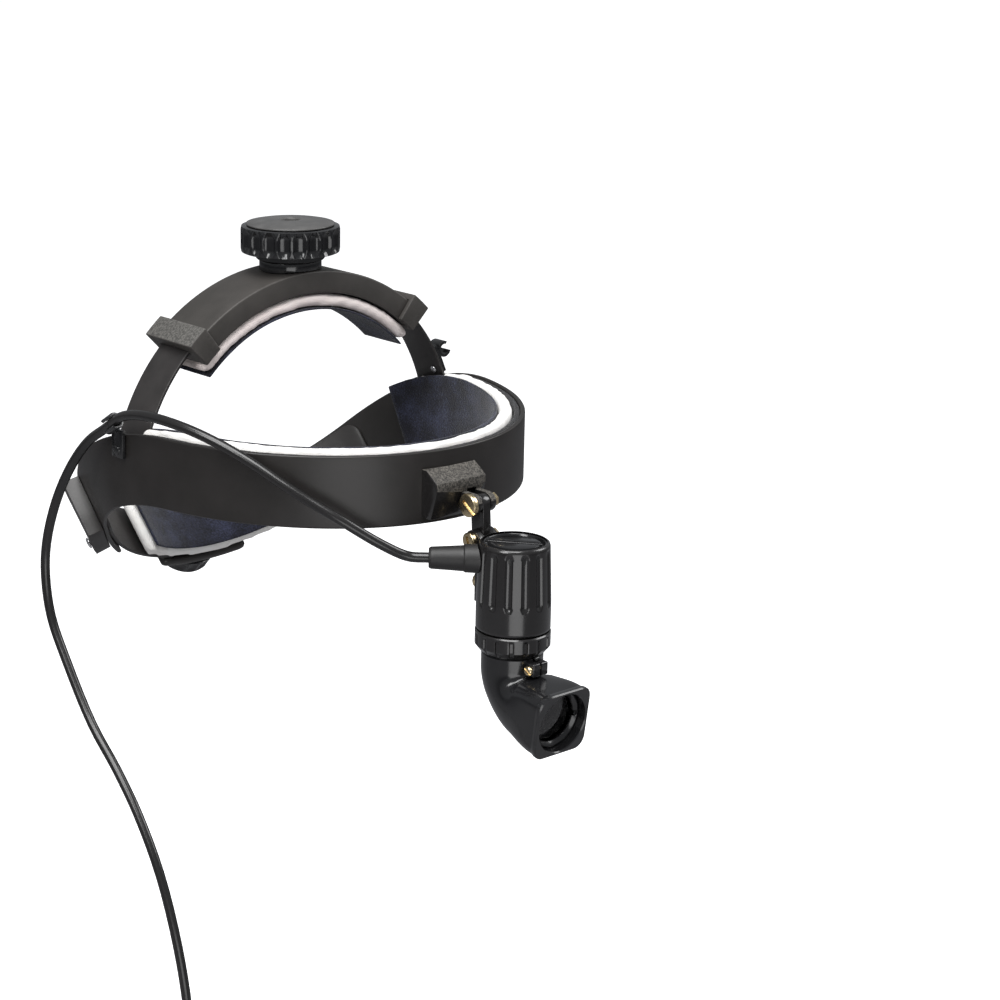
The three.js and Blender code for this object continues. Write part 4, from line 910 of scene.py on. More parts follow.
def swept(
    path: Path,
    start: float,
    end: float,
    section: Callable[[float], Outline],
    name: str,
    step: float = 1.5,
    end_round: float = 0.6 * MM,
) -> bpy.types.Mesh:
    """Sweeps a section along a path, its two ends rounded.

    Args:
        path: the line to follow.
        start: the first place.
        end: the last place.
        section: the outline of (out, up) at each place.
        name: the mesh's name.
        step: places between sections.
        end_round: the ends' rounding, in metres.

    Returns:
        The closed mesh.
    """
    middle = section((start + end) / 2)[0]
    speed = (path.point(start + 0.5, *middle) - path.point(start - 0.5, *middle)).length
    places = [
        start + (end - start) * k / max(1, round((end - start) / step))
        for k in range(round((end - start) / step) + 1)
    ]
    ends = [
        (end_round * (1 - math.cos(t)), end_round * (1 - math.sin(t)))
        for t in (0, math.pi / 6, math.pi / 3)
    ]
    rows = [(start + shift / speed, inset) for shift, inset in ends]
    limit = end_round / speed
    rows += [(at, 0.0) for at in places if start + limit <= at <= end - limit]
    rows += [(end - shift / speed, inset) for shift, inset in reversed(ends)]
    loops = []
    for at, inset in rows:
        outline = section(at)
        centre = sum((Vector(p) for p in outline), Vector((0, 0))) / len(outline)
        spans = [max(abs(p[i] - centre[i]) for p in outline) for i in (0, 1)]
        loop = []
        for point in outline:
            out, up = (centre[i] + (point[i] - centre[i]) * max(0.2, 1 - inset / spans[i]) for i in (0, 1))
            loop.append(path.point(at, out, up))
        loops.append(loop)
    return lofted(loops, name)


def slab(
    inside: float, outside: float, low: float, high: float, radius: float, longest: float = 6 * MM
) -> Outline:
    """A rectangular section of (out, up) with rounded corners."""
    corners = [(inside, low), (outside, low), (outside, high), (inside, high)]
    return split_sides(rounded(corners, radius), longest)


def cord_route(points: Sequence[Vector], per_span: int = 6) -> list[Vector]:
    """A smooth curve through a cord's points, closer together where they are far apart."""
    whole = [2 * points[0] - points[1], *points, 2 * points[-1] - points[-2]]
    made = []
    for a, b, c, d in zip(whole, whole[1:], whole[2:], whole[3:]):
        t = [0.0]
        for p, q in ((a, b), (b, c), (c, d)):
            t.append(t[-1] + max((q - p).length, 1e-6) ** 0.5)
        for k in range(per_span):
            s = t[1] + (t[2] - t[1]) * k / per_span
            low = [
                p.lerp(q, (s - t[i]) / (t[i + 1] - t[i])) for i,
                (p, q) in enumerate(((a, b), (b, c), (c, d)))
            ]
            mid = [low[i].lerp(low[i + 1], (s - t[i]) / (t[i + 2] - t[i])) for i in (0, 1)]
            made.append(mid[0].lerp(mid[1], (s - t[1]) / (t[2] - t[1])))
    made.append(points[-1].copy())
    return made


def tube_along(route: Sequence[Vector], radius: float, name: str, sides: int = 16) -> bpy.types.Mesh:
    """A round tube along a route."""
    side = UP.cross(route[1] - route[0]).normalized()
    loops = []
    for i, here in enumerate(route):
        ahead = (route[min(i + 1, len(route) - 1)] - route[max(i - 1, 0)]).normalized()
        side = (side - ahead * side.dot(ahead)).normalized()
        across = ahead.cross(side)
        loops.append([
            here + radius * (side * math.cos(a) + across * math.sin(a))
            for a in (2 * math.pi * k / sides for k in range(sides))
        ])
    return lofted(loops, name)


# ---------------------------------------------------------------- sub-assemblies


@dataclass
class BrowBand:
    """The padded front half of the ring."""

    half_height: float = 15 * MM
    wall: float = 2 * MM
    gap: float = 0.3 * MM
    felt: float = 2.5 * MM
    foam: float = 6.5 * MM
    lining: float = 1.2 * MM
    rise: float = 1.5 * MM
    shell_end: float = 140.0
    pad_end: float = 104.0

    def build(self) -> None:
        """Builds the shell, its pad and the keepers of the rear straps."""
        self.shell()
        self.pad()
        for side in Side:
            self.keeper(side)

    def shell(self) -> None:
        """The outer shell, with rounded edges."""
        section = slab(-self.wall, 0.0, -self.half_height, self.half_height, 0.8 * MM)
        mesh = swept(
            BAND, -self.shell_end, self.shell_end, lambda at: section, "brow_shell", 1.25, 0.9 * MM
        )
        reach = FITS.guide_radius + 2 * FITS.gap
        slot = slab(-self.wall - MM, MM, -reach, reach, 0.5 * MM, UNSPLIT)
        slots = []
        for side in Side:
            low, high = sorted(side.value * at for at in FITS.guide_slot)
            slots.append(swept(BAND, low, high, lambda at: slot, "slot", 1.0, 0.3 * MM))
        mesh = carved(mesh, slots)
        finished(mesh, "brow_shell", SHELL, Body.ROOT, "front_shell")

    def pad(self) -> None:
        """Felt against the shell, foam inside it and velour on the foam."""
        outside = -self.wall - self.gap
        fill = slab(
            outside - self.felt, outside, -self.half_height + MM, self.half_height - 0.6 * MM, 0.9 * MM
        )
        felt = swept(BAND, -self.pad_end, self.pad_end, lambda at: fill, "brow_felt", 1.5, MM)
        felt = carved(uneven(felt, 0.12 * MM, 400), [FITS.pocket(side) for side in Side])
        finished(felt, "brow_felt", FELT, Body.ROOT, "front_felt")

        outside -= self.felt + self.gap
        top = self.half_height + self.rise
        fill = slab(
            outside - self.foam + 0.3 * MM, outside - 0.3 * MM, -self.half_height + 0.3 * MM,
            top - 0.3 * MM, 1.6 * MM, 3 * MM
        )
        foam = swept(BAND, -self.pad_end, self.pad_end, lambda at: fill, "brow_foam", 1.5, 1.6 * MM)
        foam = uneven(swell(foam, 2.6 * MM, 0.3 * MM), 0.15 * MM, 90)
        foam = carved(foam, [FITS.pocket(side) for side in Side])
        finished(foam, "brow_foam", FOAM, Body.ROOT, "front_foam", sharp=80)

        outside -= self.foam + self.gap
        fill = slab(
            outside - self.lining, outside, -self.half_height + 0.3 * MM, top - 1.0 * MM, 0.55 * MM, 3 * MM
        )
        lining = swept(BAND, -self.pad_end, self.pad_end, lambda at: fill, "brow_lining", 1.2, 0.5 * MM)
        lining = uneven(lining, 0.12 * MM, 70)
        finished(lining, "brow_lining", VELOUR, Body.ROOT, "front_lining", sharp=80)

    def keeper(self, side: Side) -> None:
        """The block over a rear strap's guide pin, and its rivet."""
        node = f"keeper_{side.word}"
        finished(softened(node, 0.7 * MM, 3), f"strap_{node}", SHELL, Body.ROOT, node)
        rivet = f"keeper_rivet_{side.word}"
        finished(softened(rivet, 0.25 * MM), f"strap_{rivet}", STEEL, Body.ROOT, rivet)


@dataclass
class NapeBand:
    """The rear straps, their ratchet housing and knob, and the nape pad."""

    strap_out: float = -2.3 * MM
    strap_thick: float = 1.6 * MM
    strap_half: float = 13 * MM
    strap_end: float = 120.0
    tip_span: float = 4.5
    housing_span: float = 15.0
    housing_depth: float = 5 * MM
    half_height: float = 15 * MM
    gap: float = 0.3 * MM
    pad_start: float = 150.0
    foam: float = 7 * MM
    lining: float = 1.2 * MM
    knob_radius: float = 15.5 * MM
    flutes: int = 16

    def build(self) -> None:
        """Builds the straps, the housing, the pad and the knob."""
        for side in Side:
            self.strap(side)
        self.housing()
        self.pad()
        self.knob()

    def strap(self, side: Side) -> None:
        """A flat strap with a round free end, seen inside the shell."""
        inside = self.strap_out - self.strap_thick
        first, last = -side.value * self.strap_end, -side.value * (180 - self.housing_span + 3)

        def section(at: float) -> Outline:
            """The strap's section, lower where its round end closes."""
            share = min(1.0, (abs(at) - self.strap_end) / self.tip_span)
            corner = 7 * MM
            half = self.strap_half - corner * (1 - math.sqrt(max(0.0, 1 - (1 - share) ** 2)))
            return slab(inside, self.strap_out, -half, half, 0.5 * MM, UNSPLIT)

        low, high = sorted((first, last))
        mesh = swept(BAND, low, high, section, f"nape_strap_{side.word}", 0.75, 0.4 * MM)
        at = -side.value * FITS.guide_angle
        hole = rod(FITS.guide_radius + FITS.run, -8 * MM, 4 * MM, BAND.point(at, 0.0, 0.0), BAND.normal(at))
        finished(
            carved(mesh, [hole]), f"nape_strap_{side.word}", STRAP, Body.REAR, f"rear_strap_{side.word}"
        )

    def housing(self) -> None:
        """The ratchet's cover outside the straps and its plate inside them."""
        low, high = 180 - self.housing_span, 180 + self.housing_span
        cover_in = self.strap_out + self.gap
        outer = slab(cover_in, cover_in + self.housing_depth, -self.half_height, self.half_height, 2.2 * MM)
        cover = swept(BAND, low, high, lambda at: outer, "nape_housing", 1.0, 2.2 * MM)
        bore = rod(
            FITS.shaft_radius + FITS.run, -10 * MM, 12 * MM, BAND.point(180, 0.0, 0.0), BAND.normal(180)
        )
        finished(carved(cover, [bore]), "nape_housing", SHELL, Body.REAR, "rear_housing")
        plate_out = self.strap_out - self.strap_thick - self.gap
        inner = slab(plate_out - 1.2 * MM, plate_out, -self.strap_half, self.strap_half, 0.4 * MM)
        plate = swept(BAND, low, high, lambda at: inner, "nape_plate", 1.0, 0.4 * MM)
        finished(plate, "nape_plate", STRAP, Body.REAR, "rear_back_plate")

    def pad(self) -> None:
        """Foam with velour on its inner face."""
        outside = self.strap_out - self.strap_thick - 2 * self.gap - 1.2 * MM
        low = -self.half_height - MM
        start, end = self.pad_start, 360 - self.pad_start
        fill = slab(
            outside - self.foam + 0.3 * MM, outside - 0.3 * MM, low + 0.3 * MM, self.half_height - 0.3 * MM,
            1.8 * MM, 3 * MM
        )
        foam = swept(BAND, start, end, lambda at: fill, "nape_cushion", 1.2, 1.8 * MM)
        foam = uneven(swell(foam, 2.6 * MM, 0.3 * MM), 0.15 * MM, 90)
        finished(foam, "nape_cushion", FOAM, Body.REAR, "nape_foam", sharp=80)
        edge = outside - self.foam - self.gap
        skin = slab(
            edge - self.lining, edge, low + 0.8 * MM, self.half_height - 0.8 * MM, 0.55 * MM, 3 * MM
        )
        lining = swept(BAND, start, end, lambda at: skin, "nape_velour", 1.0, 0.5 * MM)
        lining = uneven(lining, 0.12 * MM, 70)
        finished(lining, "nape_velour", VELOUR, Body.REAR, "nape_lining", sharp=80)

    def knob(self) -> None:
        """The fluted knob with its cap, standing out of the housing."""
        axis = BAND.normal(180)
        base = BAND.point(180, 0.0, 0.0)
        low = self.strap_out + 2 * self.gap + self.housing_depth
        grip = fluted_grip(self.knob_radius, low, low + 8 * MM, self.flutes, 1.2 * MM, 1.6 * MM)
        grip = carved(grip, [rod(FITS.shaft_radius + FITS.gap, low - MM, low + 6.3 * MM, (0, 0, 0))])
        finished(moved(grip, base, axis), "nape_knob", GLOSS, Body.REAR_KNOB, "rear_knob_grip")
        high = low + 8 * MM + self.gap
        cap_outline = [
            (0, high), (13.2 * MM, high), (13.2 * MM, high + 1.1 * MM), (9 * MM, high + 2 * MM),
            (0, high + 2.3 * MM)
        ]
        cap = turned(rounded(cap_outline, 0.4 * MM, is_open=True), "nape_knob_cap")
        finished(moved(cap, base, axis), "nape_knob_cap", CAP_SATIN_AND_SHEEN, Body.REAR_KNOB, "rear_knob_cap")


def fluted_grip(
    radius: float, low: float, high: float, flutes: int, depth: float, rim: float,
    neck: Outline | None = None
) -> bpy.types.Mesh:
    """A grip about +Z whose flutes have round ends.

    Args:
        radius: the grip's radius.
        low: its lower face's height.
        high: its upper face's height.
        flutes: flutes round it.
        depth: how deep they are.
        rim: the height of the plain rim at each end.
        neck: points of (radius, height) of a neck below it, from the axis out.

    Returns:
        The closed mesh.
    """

    def relief(angle: float, height: float, r: float) -> float:
        """The grip's radius in and between flutes."""
        if r < 0.9 * radius:
            return r
        across = abs(((angle * flutes / (2 * math.pi)) % 1.0) - 0.5) / 0.42
        middle, half = (low + high) / 2, (high - low) / 2 - rim
        beyond = max(0.0, abs(height - middle) - half + 0.6 * rim) / (1.2 * rim)
        inside = max(0.0, 1 - across**2 - beyond**2)
        return r - depth * math.sqrt(inside) * min(1.0, inside * 3)

    side = [(radius, low + (high - low) * k / 14) for k in range(15)]
    foot = neck or [(0.0, low)]
    edge = 0.9 * MM
    side = [(radius - edge, low), (radius - 0.3 * edge, low + 0.3 * edge)] + side[2:-2]
    side += [(radius - 0.3 * edge, high - 0.3 * edge), (radius - edge, high)]
    return turned([*foot, *side, (0.0, high)], "grip", 16 * flutes, relief)


@dataclass
class Crown:
    """The strap over the head: a channel with two straps in it, a pad and the height knob."""

    outer: float = 89.7 * MM
    depth: float = 9.6 * MM
    wall: float = 1.6 * MM
    half: float = 14 * MM
    span: float = 42.0
    pad_span: float = 46.0
    foam: float = 6 * MM
    lining: float = 1.2 * MM
    gap: float = 0.3 * MM
    knob_radius: float = 21.5 * MM
    knob_flutes: int = 20

    def build(self) -> None:
        """Builds the channel, its collars, the pad, the straps and the knob."""
        self.channel()
        self.pad()
        for side in Side:
            self.collar(side)
            self.strap(side)
        self.knob()

    def channel(self) -> None:
        """The U-shaped channel and the plate that closes it below."""
        inner, wall = self.outer - self.depth, self.wall
        corners = [
            (inner, -self.half), (self.outer, -self.half), (self.outer, self.half), (inner, self.half),
            (inner, self.half - wall), (self.outer - wall, self.half - wall),
            (self.outer - wall, -self.half + wall), (inner, -self.half + wall),
        ]
        outline = split_sides(rounded(corners, 0.75 * MM, 3), 5 * MM)
        mesh = swept(CROWN, -self.span, self.span, lambda at: outline, "crown_channel", 1.0, 0.2 * MM)
        bore = rod(FITS.shaft_radius + FITS.run, 55 * MM, 90 * MM, (0, CROWN.middle_y, 0))
        finished(carved(mesh, [bore]), "crown_channel", CROWN_SKIN, Body.CROWN, "crown_shell")
        reach = self.half - wall - self.gap
        flat = slab(inner, inner + 1.2 * MM, -reach, reach, 0.4 * MM)
        plate = swept(CROWN, -self.span, self.span, lambda at: flat, "crown_floor", 1.0, 0.3 * MM)
        finished(plate, "crown_floor", STRAP, Body.CROWN, "crown_plate")

    def pad(self) -> None:
        """Foam under the channel, with velour under the foam."""
        top = self.outer - self.depth - self.gap
        fill = slab(
            top - self.foam + 0.3 * MM, top - 0.3 * MM, -self.half + 0.3 * MM, self.half - 0.3 * MM,
            1.5 * MM, 3 * MM
        )
        foam = swept(CROWN, -self.pad_span, self.pad_span, lambda at: fill, "crown_cushion", 1.2, 1.6 * MM)
        foam = uneven(swell(foam, 2.4 * MM, 0.3 * MM), 0.12 * MM, 90)
        finished(foam, "crown_cushion", PINK_FOAM, Body.CROWN, "crown_foam", sharp=80)
        below = top - self.foam - self.gap
        reach = self.half - 1.2 * MM
        skin = slab(below - 0.7 * self.lining, below, -reach, reach, 0.4 * MM, 3 * MM)
        lining = swept(CROWN, -self.pad_span, self.pad_span, lambda at: skin, "crown_velour", 1.0, 0.5 * MM)
        lining = uneven(lining, 0.12 * MM, 70)
        finished(lining, "crown_velour", VELOUR, Body.CROWN, "crown_lining", sharp=80)

    def collar(self, side: Side) -> None:
        """The end piece where a strap leaves the channel, speckled on its outer face, which is painted
        paler as painted top light.
        """
        node = f"crown_collar_{side.word}"
        piece = finished(softened(node, 0.6 * MM, 3), f"{node}_cast", CROWN_SKIN, Body.CROWN, node)
        centre = Vector((0, 0, CROWN.centre_z))

        def lit_outer_face(face: bpy.types.MeshPolygon) -> bool:
            """Whether a face looks away from the head."""
            away = Vector((face.center.x, 0, face.center.z)) - centre
            return face.normal.dot(away.normalized()) > 0.75 and away.length > self.outer + 2 * MM

        # Painted top light: the outer faces, which look up, get the paler speckle
        two_tone(piece, COLLAR_SPECKLE_LIT_TOP, lit_outer_face)

    def strap(self, side: Side) -> None:
        """A thin strap from inside the channel down to the temple."""
        first, last = sorted((side.value * 8.0, side.value * FITS.strap_foot))
        half_thick = FITS.strap_thick / 2
        inside, outside = FITS.strap_radius - half_thick, FITS.strap_radius + half_thick

        def section(at: float) -> Outline:
            """The strap's section, its foot rounded off."""
            rest = max(0.0, 1 - (FITS.strap_foot - abs(at)) / 4.5)
            half = FITS.strap_half - 6 * MM * (1 - math.sqrt(1 - min(1.0, rest) ** 2))
            return slab(inside, outside, -half, half, 0.45 * MM, UNSPLIT)

        body = Body.STRAP_LEFT if side is Side.LEFT else Body.STRAP_RIGHT
        mesh = swept(CROWN, first, last, section, f"temple_strap_{side.word}", 1.0, 0.4 * MM)
        across = Vector((side.value, 0, 0))
        peg = rod(FITS.peg_hole, 75 * MM, 95 * MM, (0, CROWN.middle_y, FITS.foot_z + FITS.peg_rise), across)
        finished(carved(mesh, [peg]), f"temple_strap_{side.word}", STRAP, body, f"side_strap_{side.word}")

    def knob(self) -> None:
        """The height knob: collar, fluted grip on a neck, and a domed cap with a hole."""
        centre = (0, CROWN.middle_y, 0)
        finished(
            softened("crown_knob_collar", 0.4 * MM), "knob_seat", GLOSS, Body.CROWN, "crown_knob_collar"
        )
        low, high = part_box("crown_knob_grip")
        neck_height = 3 * MM
        base = low[2]
        neck_radius = 14.9 * MM
        neck = [
            (0.0, base), (neck_radius - 0.4 * MM, base), (neck_radius, base + 0.4 * MM),
            (neck_radius - 0.3 * MM, base + neck_height - 0.5 * MM),
            (neck_radius + 0.4 * MM, base + neck_height),
        ]
        grip = fluted_grip(
            self.knob_radius, base + neck_height, high[2], self.knob_flutes, 1.5 * MM, 2.0 * MM, neck,
        )
        grip = carved(grip, [rod(FITS.shaft_radius + FITS.gap, base - MM, high[2] + MM, (0, 0, 0))])
        finished(moved(grip, centre), "height_knob", GLOSS, Body.CROWN_KNOB, "crown_knob_grip")
        base = high[2] + self.gap
        outline = [
            (4.2 * MM, base), (19.2 * MM, base), (19.2 * MM, base + 0.7 * MM),
            (16.5 * MM, base + 1.25 * MM),
            (12.5 * MM, base + 1.8 * MM), (8 * MM, base + 2.15 * MM), (5 * MM, base + 2.25 * MM),
            (4.2 * MM, base + 1.7 * MM),
        ]
        cap = turned(rounded(outline, 0.35 * MM), "height_knob_cap", 128)
        finished(moved(cap, centre), "height_knob_cap", CAP_SATIN_AND_SHEEN, Body.CROWN_KNOB, "crown_knob_cap")


@dataclass
class ArmAndBracket:
    """The bracket on the brow, the link and the slotted screws that clamp it."""

    upper: tuple[float, float] = (-119.5 * MM, -6 * MM)
    lower: tuple[float, float] = (-120.5 * MM, -20.5 * MM)
    pin: float = 1.6 * MM
    slot: float = 1.4 * MM

    def build(self) -> None:
        """Builds the bracket, the link, the mount plate and their screws."""
        bracket = finished(
            softened("lamp_bracket", 0.45 * MM), "brow_bracket", ENAMEL, Body.ROOT, "lamp_bracket", sharp=30
        )
        # Painted top light: the up-facing faces and the lip get the lighter speckle, while the shaded sides
        # stay dark
        two_tone(bracket, BRACKET_SPECKLE_LIT_TOP, lambda face: self.lit_speckled_face(face))
        finished(softened("arm_link", 0.5 * MM), "arm_plate", ENAMEL, Body.ARM, "arm_link")
        mount = softened("lamp_mount_plate", 0.4 * MM)
        finished(mount, "barrel_saddle", ENAMEL, Body.LAMP, "lamp_mount_plate")
        finished(
            softened("lamp_mount_screw", 0.3 * MM), "saddle_screw", BRASS, Body.LAMP, "lamp_mount_screw"
        )
        self.screw("arm_screw_upper", self.upper, 4.8 * MM, Body.ROOT, 35)
        self.screw("arm_screw_lower", self.lower, 3.4 * MM, Body.LAMP, 70)

    def lit_speckled_face(self, face: bpy.types.MeshPolygon) -> bool:
        """Whether a bracket face gets the speckled finish: its up-facing top and its front lip. The speckle
        is the real cast texture, shown lighter on these faces only as painted top light.
        """
        on_top = face.normal.z > 0.35
        on_lip = face.normal.y < -0.9 and face.center.z > -3 * MM
        return on_top or on_lip

    def screw(self, node: str, pivot: tuple[float, float], radius: float, body: Body, slant: float) -> None:
        """A slotted screw along X with a rounded head on the wearer's right and a nut on the left.

        Args:
            node: the CAD node that it stands for.
            pivot: Y and Z of its axis.
            radius: its head's radius.
            body: the body that it rides on.
            slant: the slot's angle in degrees.
        """
        low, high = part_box(node)
        head, tail = low[0], high[0]
        inner = head + 2.2 * MM
        outline = [
            (0, tail), (self.pin, tail), (self.pin, inner), (radius, inner),
            (radius, head + 0.35 * MM), (radius - 0.5 * MM, head), (0, head),
        ]
        rod = turned(rounded(outline, 0.25 * MM, 2, is_open=True), node + "_turned", 64)
        cut = box_mesh(
            Vector((-self.slot / 2, -2 * radius, head - MM)),
            Vector((self.slot / 2, 0.55 * radius, head + 0.9 * MM)), 0
        )
        cut.transform(Matrix.Rotation(math.radians(slant), 4, "Z"))
        rod = carved(rod, [cut])
        nut_outline = [(0, tail - 2.2 * MM), (3 * MM, tail - 2.2 * MM), (3 * MM, tail), (0, tail)]
        nut = turned(rounded(nut_outline, 0.3 * MM, 2, True), "nut", 6)
        both = moved(joined(rod, nut), (0, pivot[0], pivot[1]), Vector((1, 0, 0)))
        finished(both, node + "_turned", BRASS, body, node, sharp=30)


@dataclass
class LampHead:
    """The barrel with its cap and boot, the focus ring and the right-angle elbow."""

    axis_y: float = -140 * MM
    top: float = -17 * MM
    bottom: float = -53 * MM
    radius: float = 15 * MM
    wall: float = 1.6 * MM
    neck: float = 10.8 * MM
    focus_bottom: float = -62.3 * MM
    elbow_radius: float = 12.5 * MM
    elbow_wall: float = 1.3 * MM
    bend_start: float = -68.5 * MM
    bend_radius: float = 14 * MM
    bend: float = math.radians(82)
    mouth_run: float = 15 * MM
    mouth_half: float = 13.3 * MM
    mouth_corner: float = 5 * MM
    bezel: float = 3 * MM
    bore: float = 12 * MM
    lens_depth: float = 6 * MM
    boot_axis: Vector = field(default_factory=lambda: Vector((-0.75, 0.66, 0)).normalized())
    boot_z: float = -24.6 * MM
    boot_length: float = 19 * MM
    boot_ring: float = 1.2 * MM
    grooves: int = 14

    def build(self) -> None:
        """Builds every piece of the lamp."""
        self.barrel()
        self.cap()
        self.focus_ring()
        self.elbow()
        self.mouth()
        self.boot()

    def on_axis(self, mesh: bpy.types.Mesh) -> bpy.types.Mesh:
        """Moves a mesh made about +Z onto the barrel's axis."""
        return moved(mesh, (0, self.axis_y, 0))

    def barrel(self) -> None:
        """The barrel, a little narrower at its top, with grooves on its front half."""
        inner = self.radius - self.wall
        start, end = self.top - 4 * MM, self.top - 23.5 * MM

        def relief(angle: float, height: float, r: float) -> float:
            """The barrel's radius, with its taper and its grooves."""
            if r < inner + 0.3 * MM:
                return r
            taper = 0.9 * MM * min(1.0, max(0.0, (height - end) / (self.top - end)))
            turn = ((angle - math.radians(-90)) * self.grooves / (2 * math.pi)) % 1.0
            across = abs(turn - round(turn)) / 0.24
            beyond = max(0.0, height - start, end - height) / (1.5 * MM)
            behind = math.cos(angle - math.radians(114)) > math.cos(math.radians(52))
            inside = 0.0 if behind else max(0.0, 1 - across**2 - beyond**2)
            return r - taper - 0.95 * MM * math.sqrt(inside)

        neck_low = self.focus_bottom - 4.5 * MM
        outside = [
            (self.radius, self.top - 1.4 * MM - (self.top - self.bottom - 2.2 * MM) * k / 44)
            for k in range(45)
        ]
        outline = [
            (inner, self.top - 0.5 * MM), (inner + 0.4 * MM, self.top), (self.radius - 0.9 * MM, self.top),
            (self.radius - 0.25 * MM, self.top - 0.5 * MM), *outside, (self.radius - 0.7 * MM, self.bottom),
            (self.neck, self.bottom), (self.neck, neck_low), (self.neck - 1.3 * MM, neck_low),
            (self.neck - 1.3 * MM, self.bottom + 2 * MM), (inner, self.bottom + 2 * MM),
        ]
        mesh = turned(outline, "lamp_barrel_fine", 224, relief)
        finished(self.on_axis(mesh), "lamp_barrel_fine", ENAMEL, Body.LAMP, "lamp_barrel", sharp=50)

    def cap(self) -> None:
        """The dished cap with two raised lobes and a blade between them."""
        low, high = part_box("lamp_cap")
        radius = (high[0] - low[0]) / 2
        floor = high[2] - 1.7 * MM
        rim = high[2] - 0.2 * MM
        dish = [
            (0, low[2]), (radius, low[2]), (radius, rim), (radius - 1.1 * MM, rim),
            (radius - 1.6 * MM, floor), (0, floor),
        ]
        parts = [turned(rounded(dish, 0.35 * MM, 3, is_open=True), "dish", 96)]
        reach = radius - 2.2 * MM
        for sign in (-1, 1):
            half_angle = math.radians(74)
            arc = [(reach * math.cos(half_angle * k / 12), sign * reach * math.sin(half_angle * (k / 12)))
                   for k in range(-12, 13)]
            lobe = [
                (sign * (1.7 * MM + (x - reach * math.cos(half_angle)) * 0.93), y * sign)
                for x, y in arc
            ]
            loops = []
            for height, shrink in (
                (floor - 0.5 * MM, 1.0), (high[2] - 0.7 * MM, 1.0), (high[2] - 0.2 * MM, 0.96),
                (high[2], 0.86)
            ):
                middle = sign * 5.2 * MM
                loops.append(
                    [Vector((middle + (x - middle) * shrink, y * shrink, height)) for x, y in lobe]
                )
            parts.append(lofted(loops, "lobe"))
        blade = box_mesh(
            Vector((-0.45 * MM, -reach, floor - 0.5 * MM)), Vector((0.45 * MM, reach, high[2] - 0.1 * MM)),
            0.2 * MM
        )
        parts.append(blade)
        mesh = joined(*parts)
        mesh.transform(Matrix.Rotation(math.radians(38), 4, "Z"))
        finished(self.on_axis(mesh), "lamp_cap_fine", GLOSS, Body.LAMP_CAP, "lamp_cap", sharp=35)

    def focus_ring(self) -> None:
        """The ring under the barrel, with pads round it and a chamfer below."""
        high = self.bottom - 0.3 * MM
        radius = self.radius + 0.2 * MM
        pads = 16

        def relief(angle: float, height: float, r: float) -> float:
            """The ring's radius, lower between its pads."""
            if r < radius - 0.5 * MM:
                return r
            across = abs(((angle * pads / (2 * math.pi)) % 1.0) - 0.5)
            between = min(1.0, max(0.0, (across - 0.34) / 0.05))
            band = min(1.0, max(0.0, (high - 1.2 * MM - height) / (0.5 * MM)))
            return r - 0.7 * MM * between * band

        side = [
            (radius, high - 0.5 * MM - (high - 0.5 * MM - self.focus_bottom - 3 * MM) * k / 12)
            for k in range(13)
        ]
        outline = [(self.neck + 0.2 * MM, high), (radius - 0.4 * MM, high), *side,
                   (self.elbow_radius + 0.5 * MM, self.focus_bottom + 0.3 * MM),
                   (self.elbow_radius, self.focus_bottom),
                   (self.neck + 0.2 * MM, self.focus_bottom)]
        mesh = turned(outline, "focus_ring_fine", 320, relief)
        finished(self.on_axis(mesh), "focus_ring_fine", ENAMEL, Body.FOCUS, "focus_ring", sharp=35)

    def elbow_axis(self, run: float) -> tuple[Vector, Vector]:
        """Where the elbow's axis is after a run along it, and which way it points."""
        straight = self.focus_bottom - 0.3 * MM - self.bend_start
        bend = min(max((run - straight) / self.bend_radius, 0.0), self.bend)
        beyond = max(run - straight - self.bend_radius * self.bend, 0.0)
        ahead = Vector((0, -math.sin(bend), -math.cos(bend)))
        place = Vector((
            0, self.axis_y - self.bend_radius * (1 - math.cos(bend)),
            self.focus_bottom - 0.3 * MM - min(run, straight) - self.bend_radius * math.sin(bend),
        ))
        return place + ahead * beyond, ahead

    @property
    def elbow_length(self) -> float:
        """The run from the elbow's top to the plane behind its bezel."""
        straight = self.focus_bottom - 0.3 * MM - self.bend_start
        return straight + self.bend_radius * self.bend + self.mouth_run

    def elbow_loop(self, run: float, radius: float, share: float, half: float, count: int = 72) -> Loop:
        """A section of the elbow, from round to a rounded square.

        Args:
            run: its place along the axis.
            radius: the round section's radius.
            share: 0 for round, 1 for square.
            half: half the square's width.
            count: points in the loop.

        Returns:
            The section's points.
        """
        place, ahead = self.elbow_axis(run)
        rise = Vector((1, 0, 0)).cross(ahead)
        loop = []
        flat = half - self.mouth_corner
        for i in range(count):
            angle = 2 * math.pi * i / count
            c, s = math.cos(angle), math.sin(angle)
            square = half / max(abs(c), abs(s))
            if min(abs(c), abs(s)) * square > flat:
                b = flat * (abs(c) + abs(s))
                square = b + math.sqrt(b * b - 2 * flat * flat + self.mouth_corner**2)
            r = radius + (square - radius) * share
            loop.append(place + Vector((r * c, 0, 0)) + rise * (r * s))
        return loop

    def elbow(self) -> None:
        """The hollow elbow with its square flange, and the pinch lug with its screw."""
        length = self.elbow_length
        end = length + self.bezel

        def square_share(run: float) -> float:
            """How square the section is at a run."""
            t = min(1.0, max(0.0, (run - 14 * MM) / (length - 15 * MM)))
            return t * t * (3 - 2 * t)

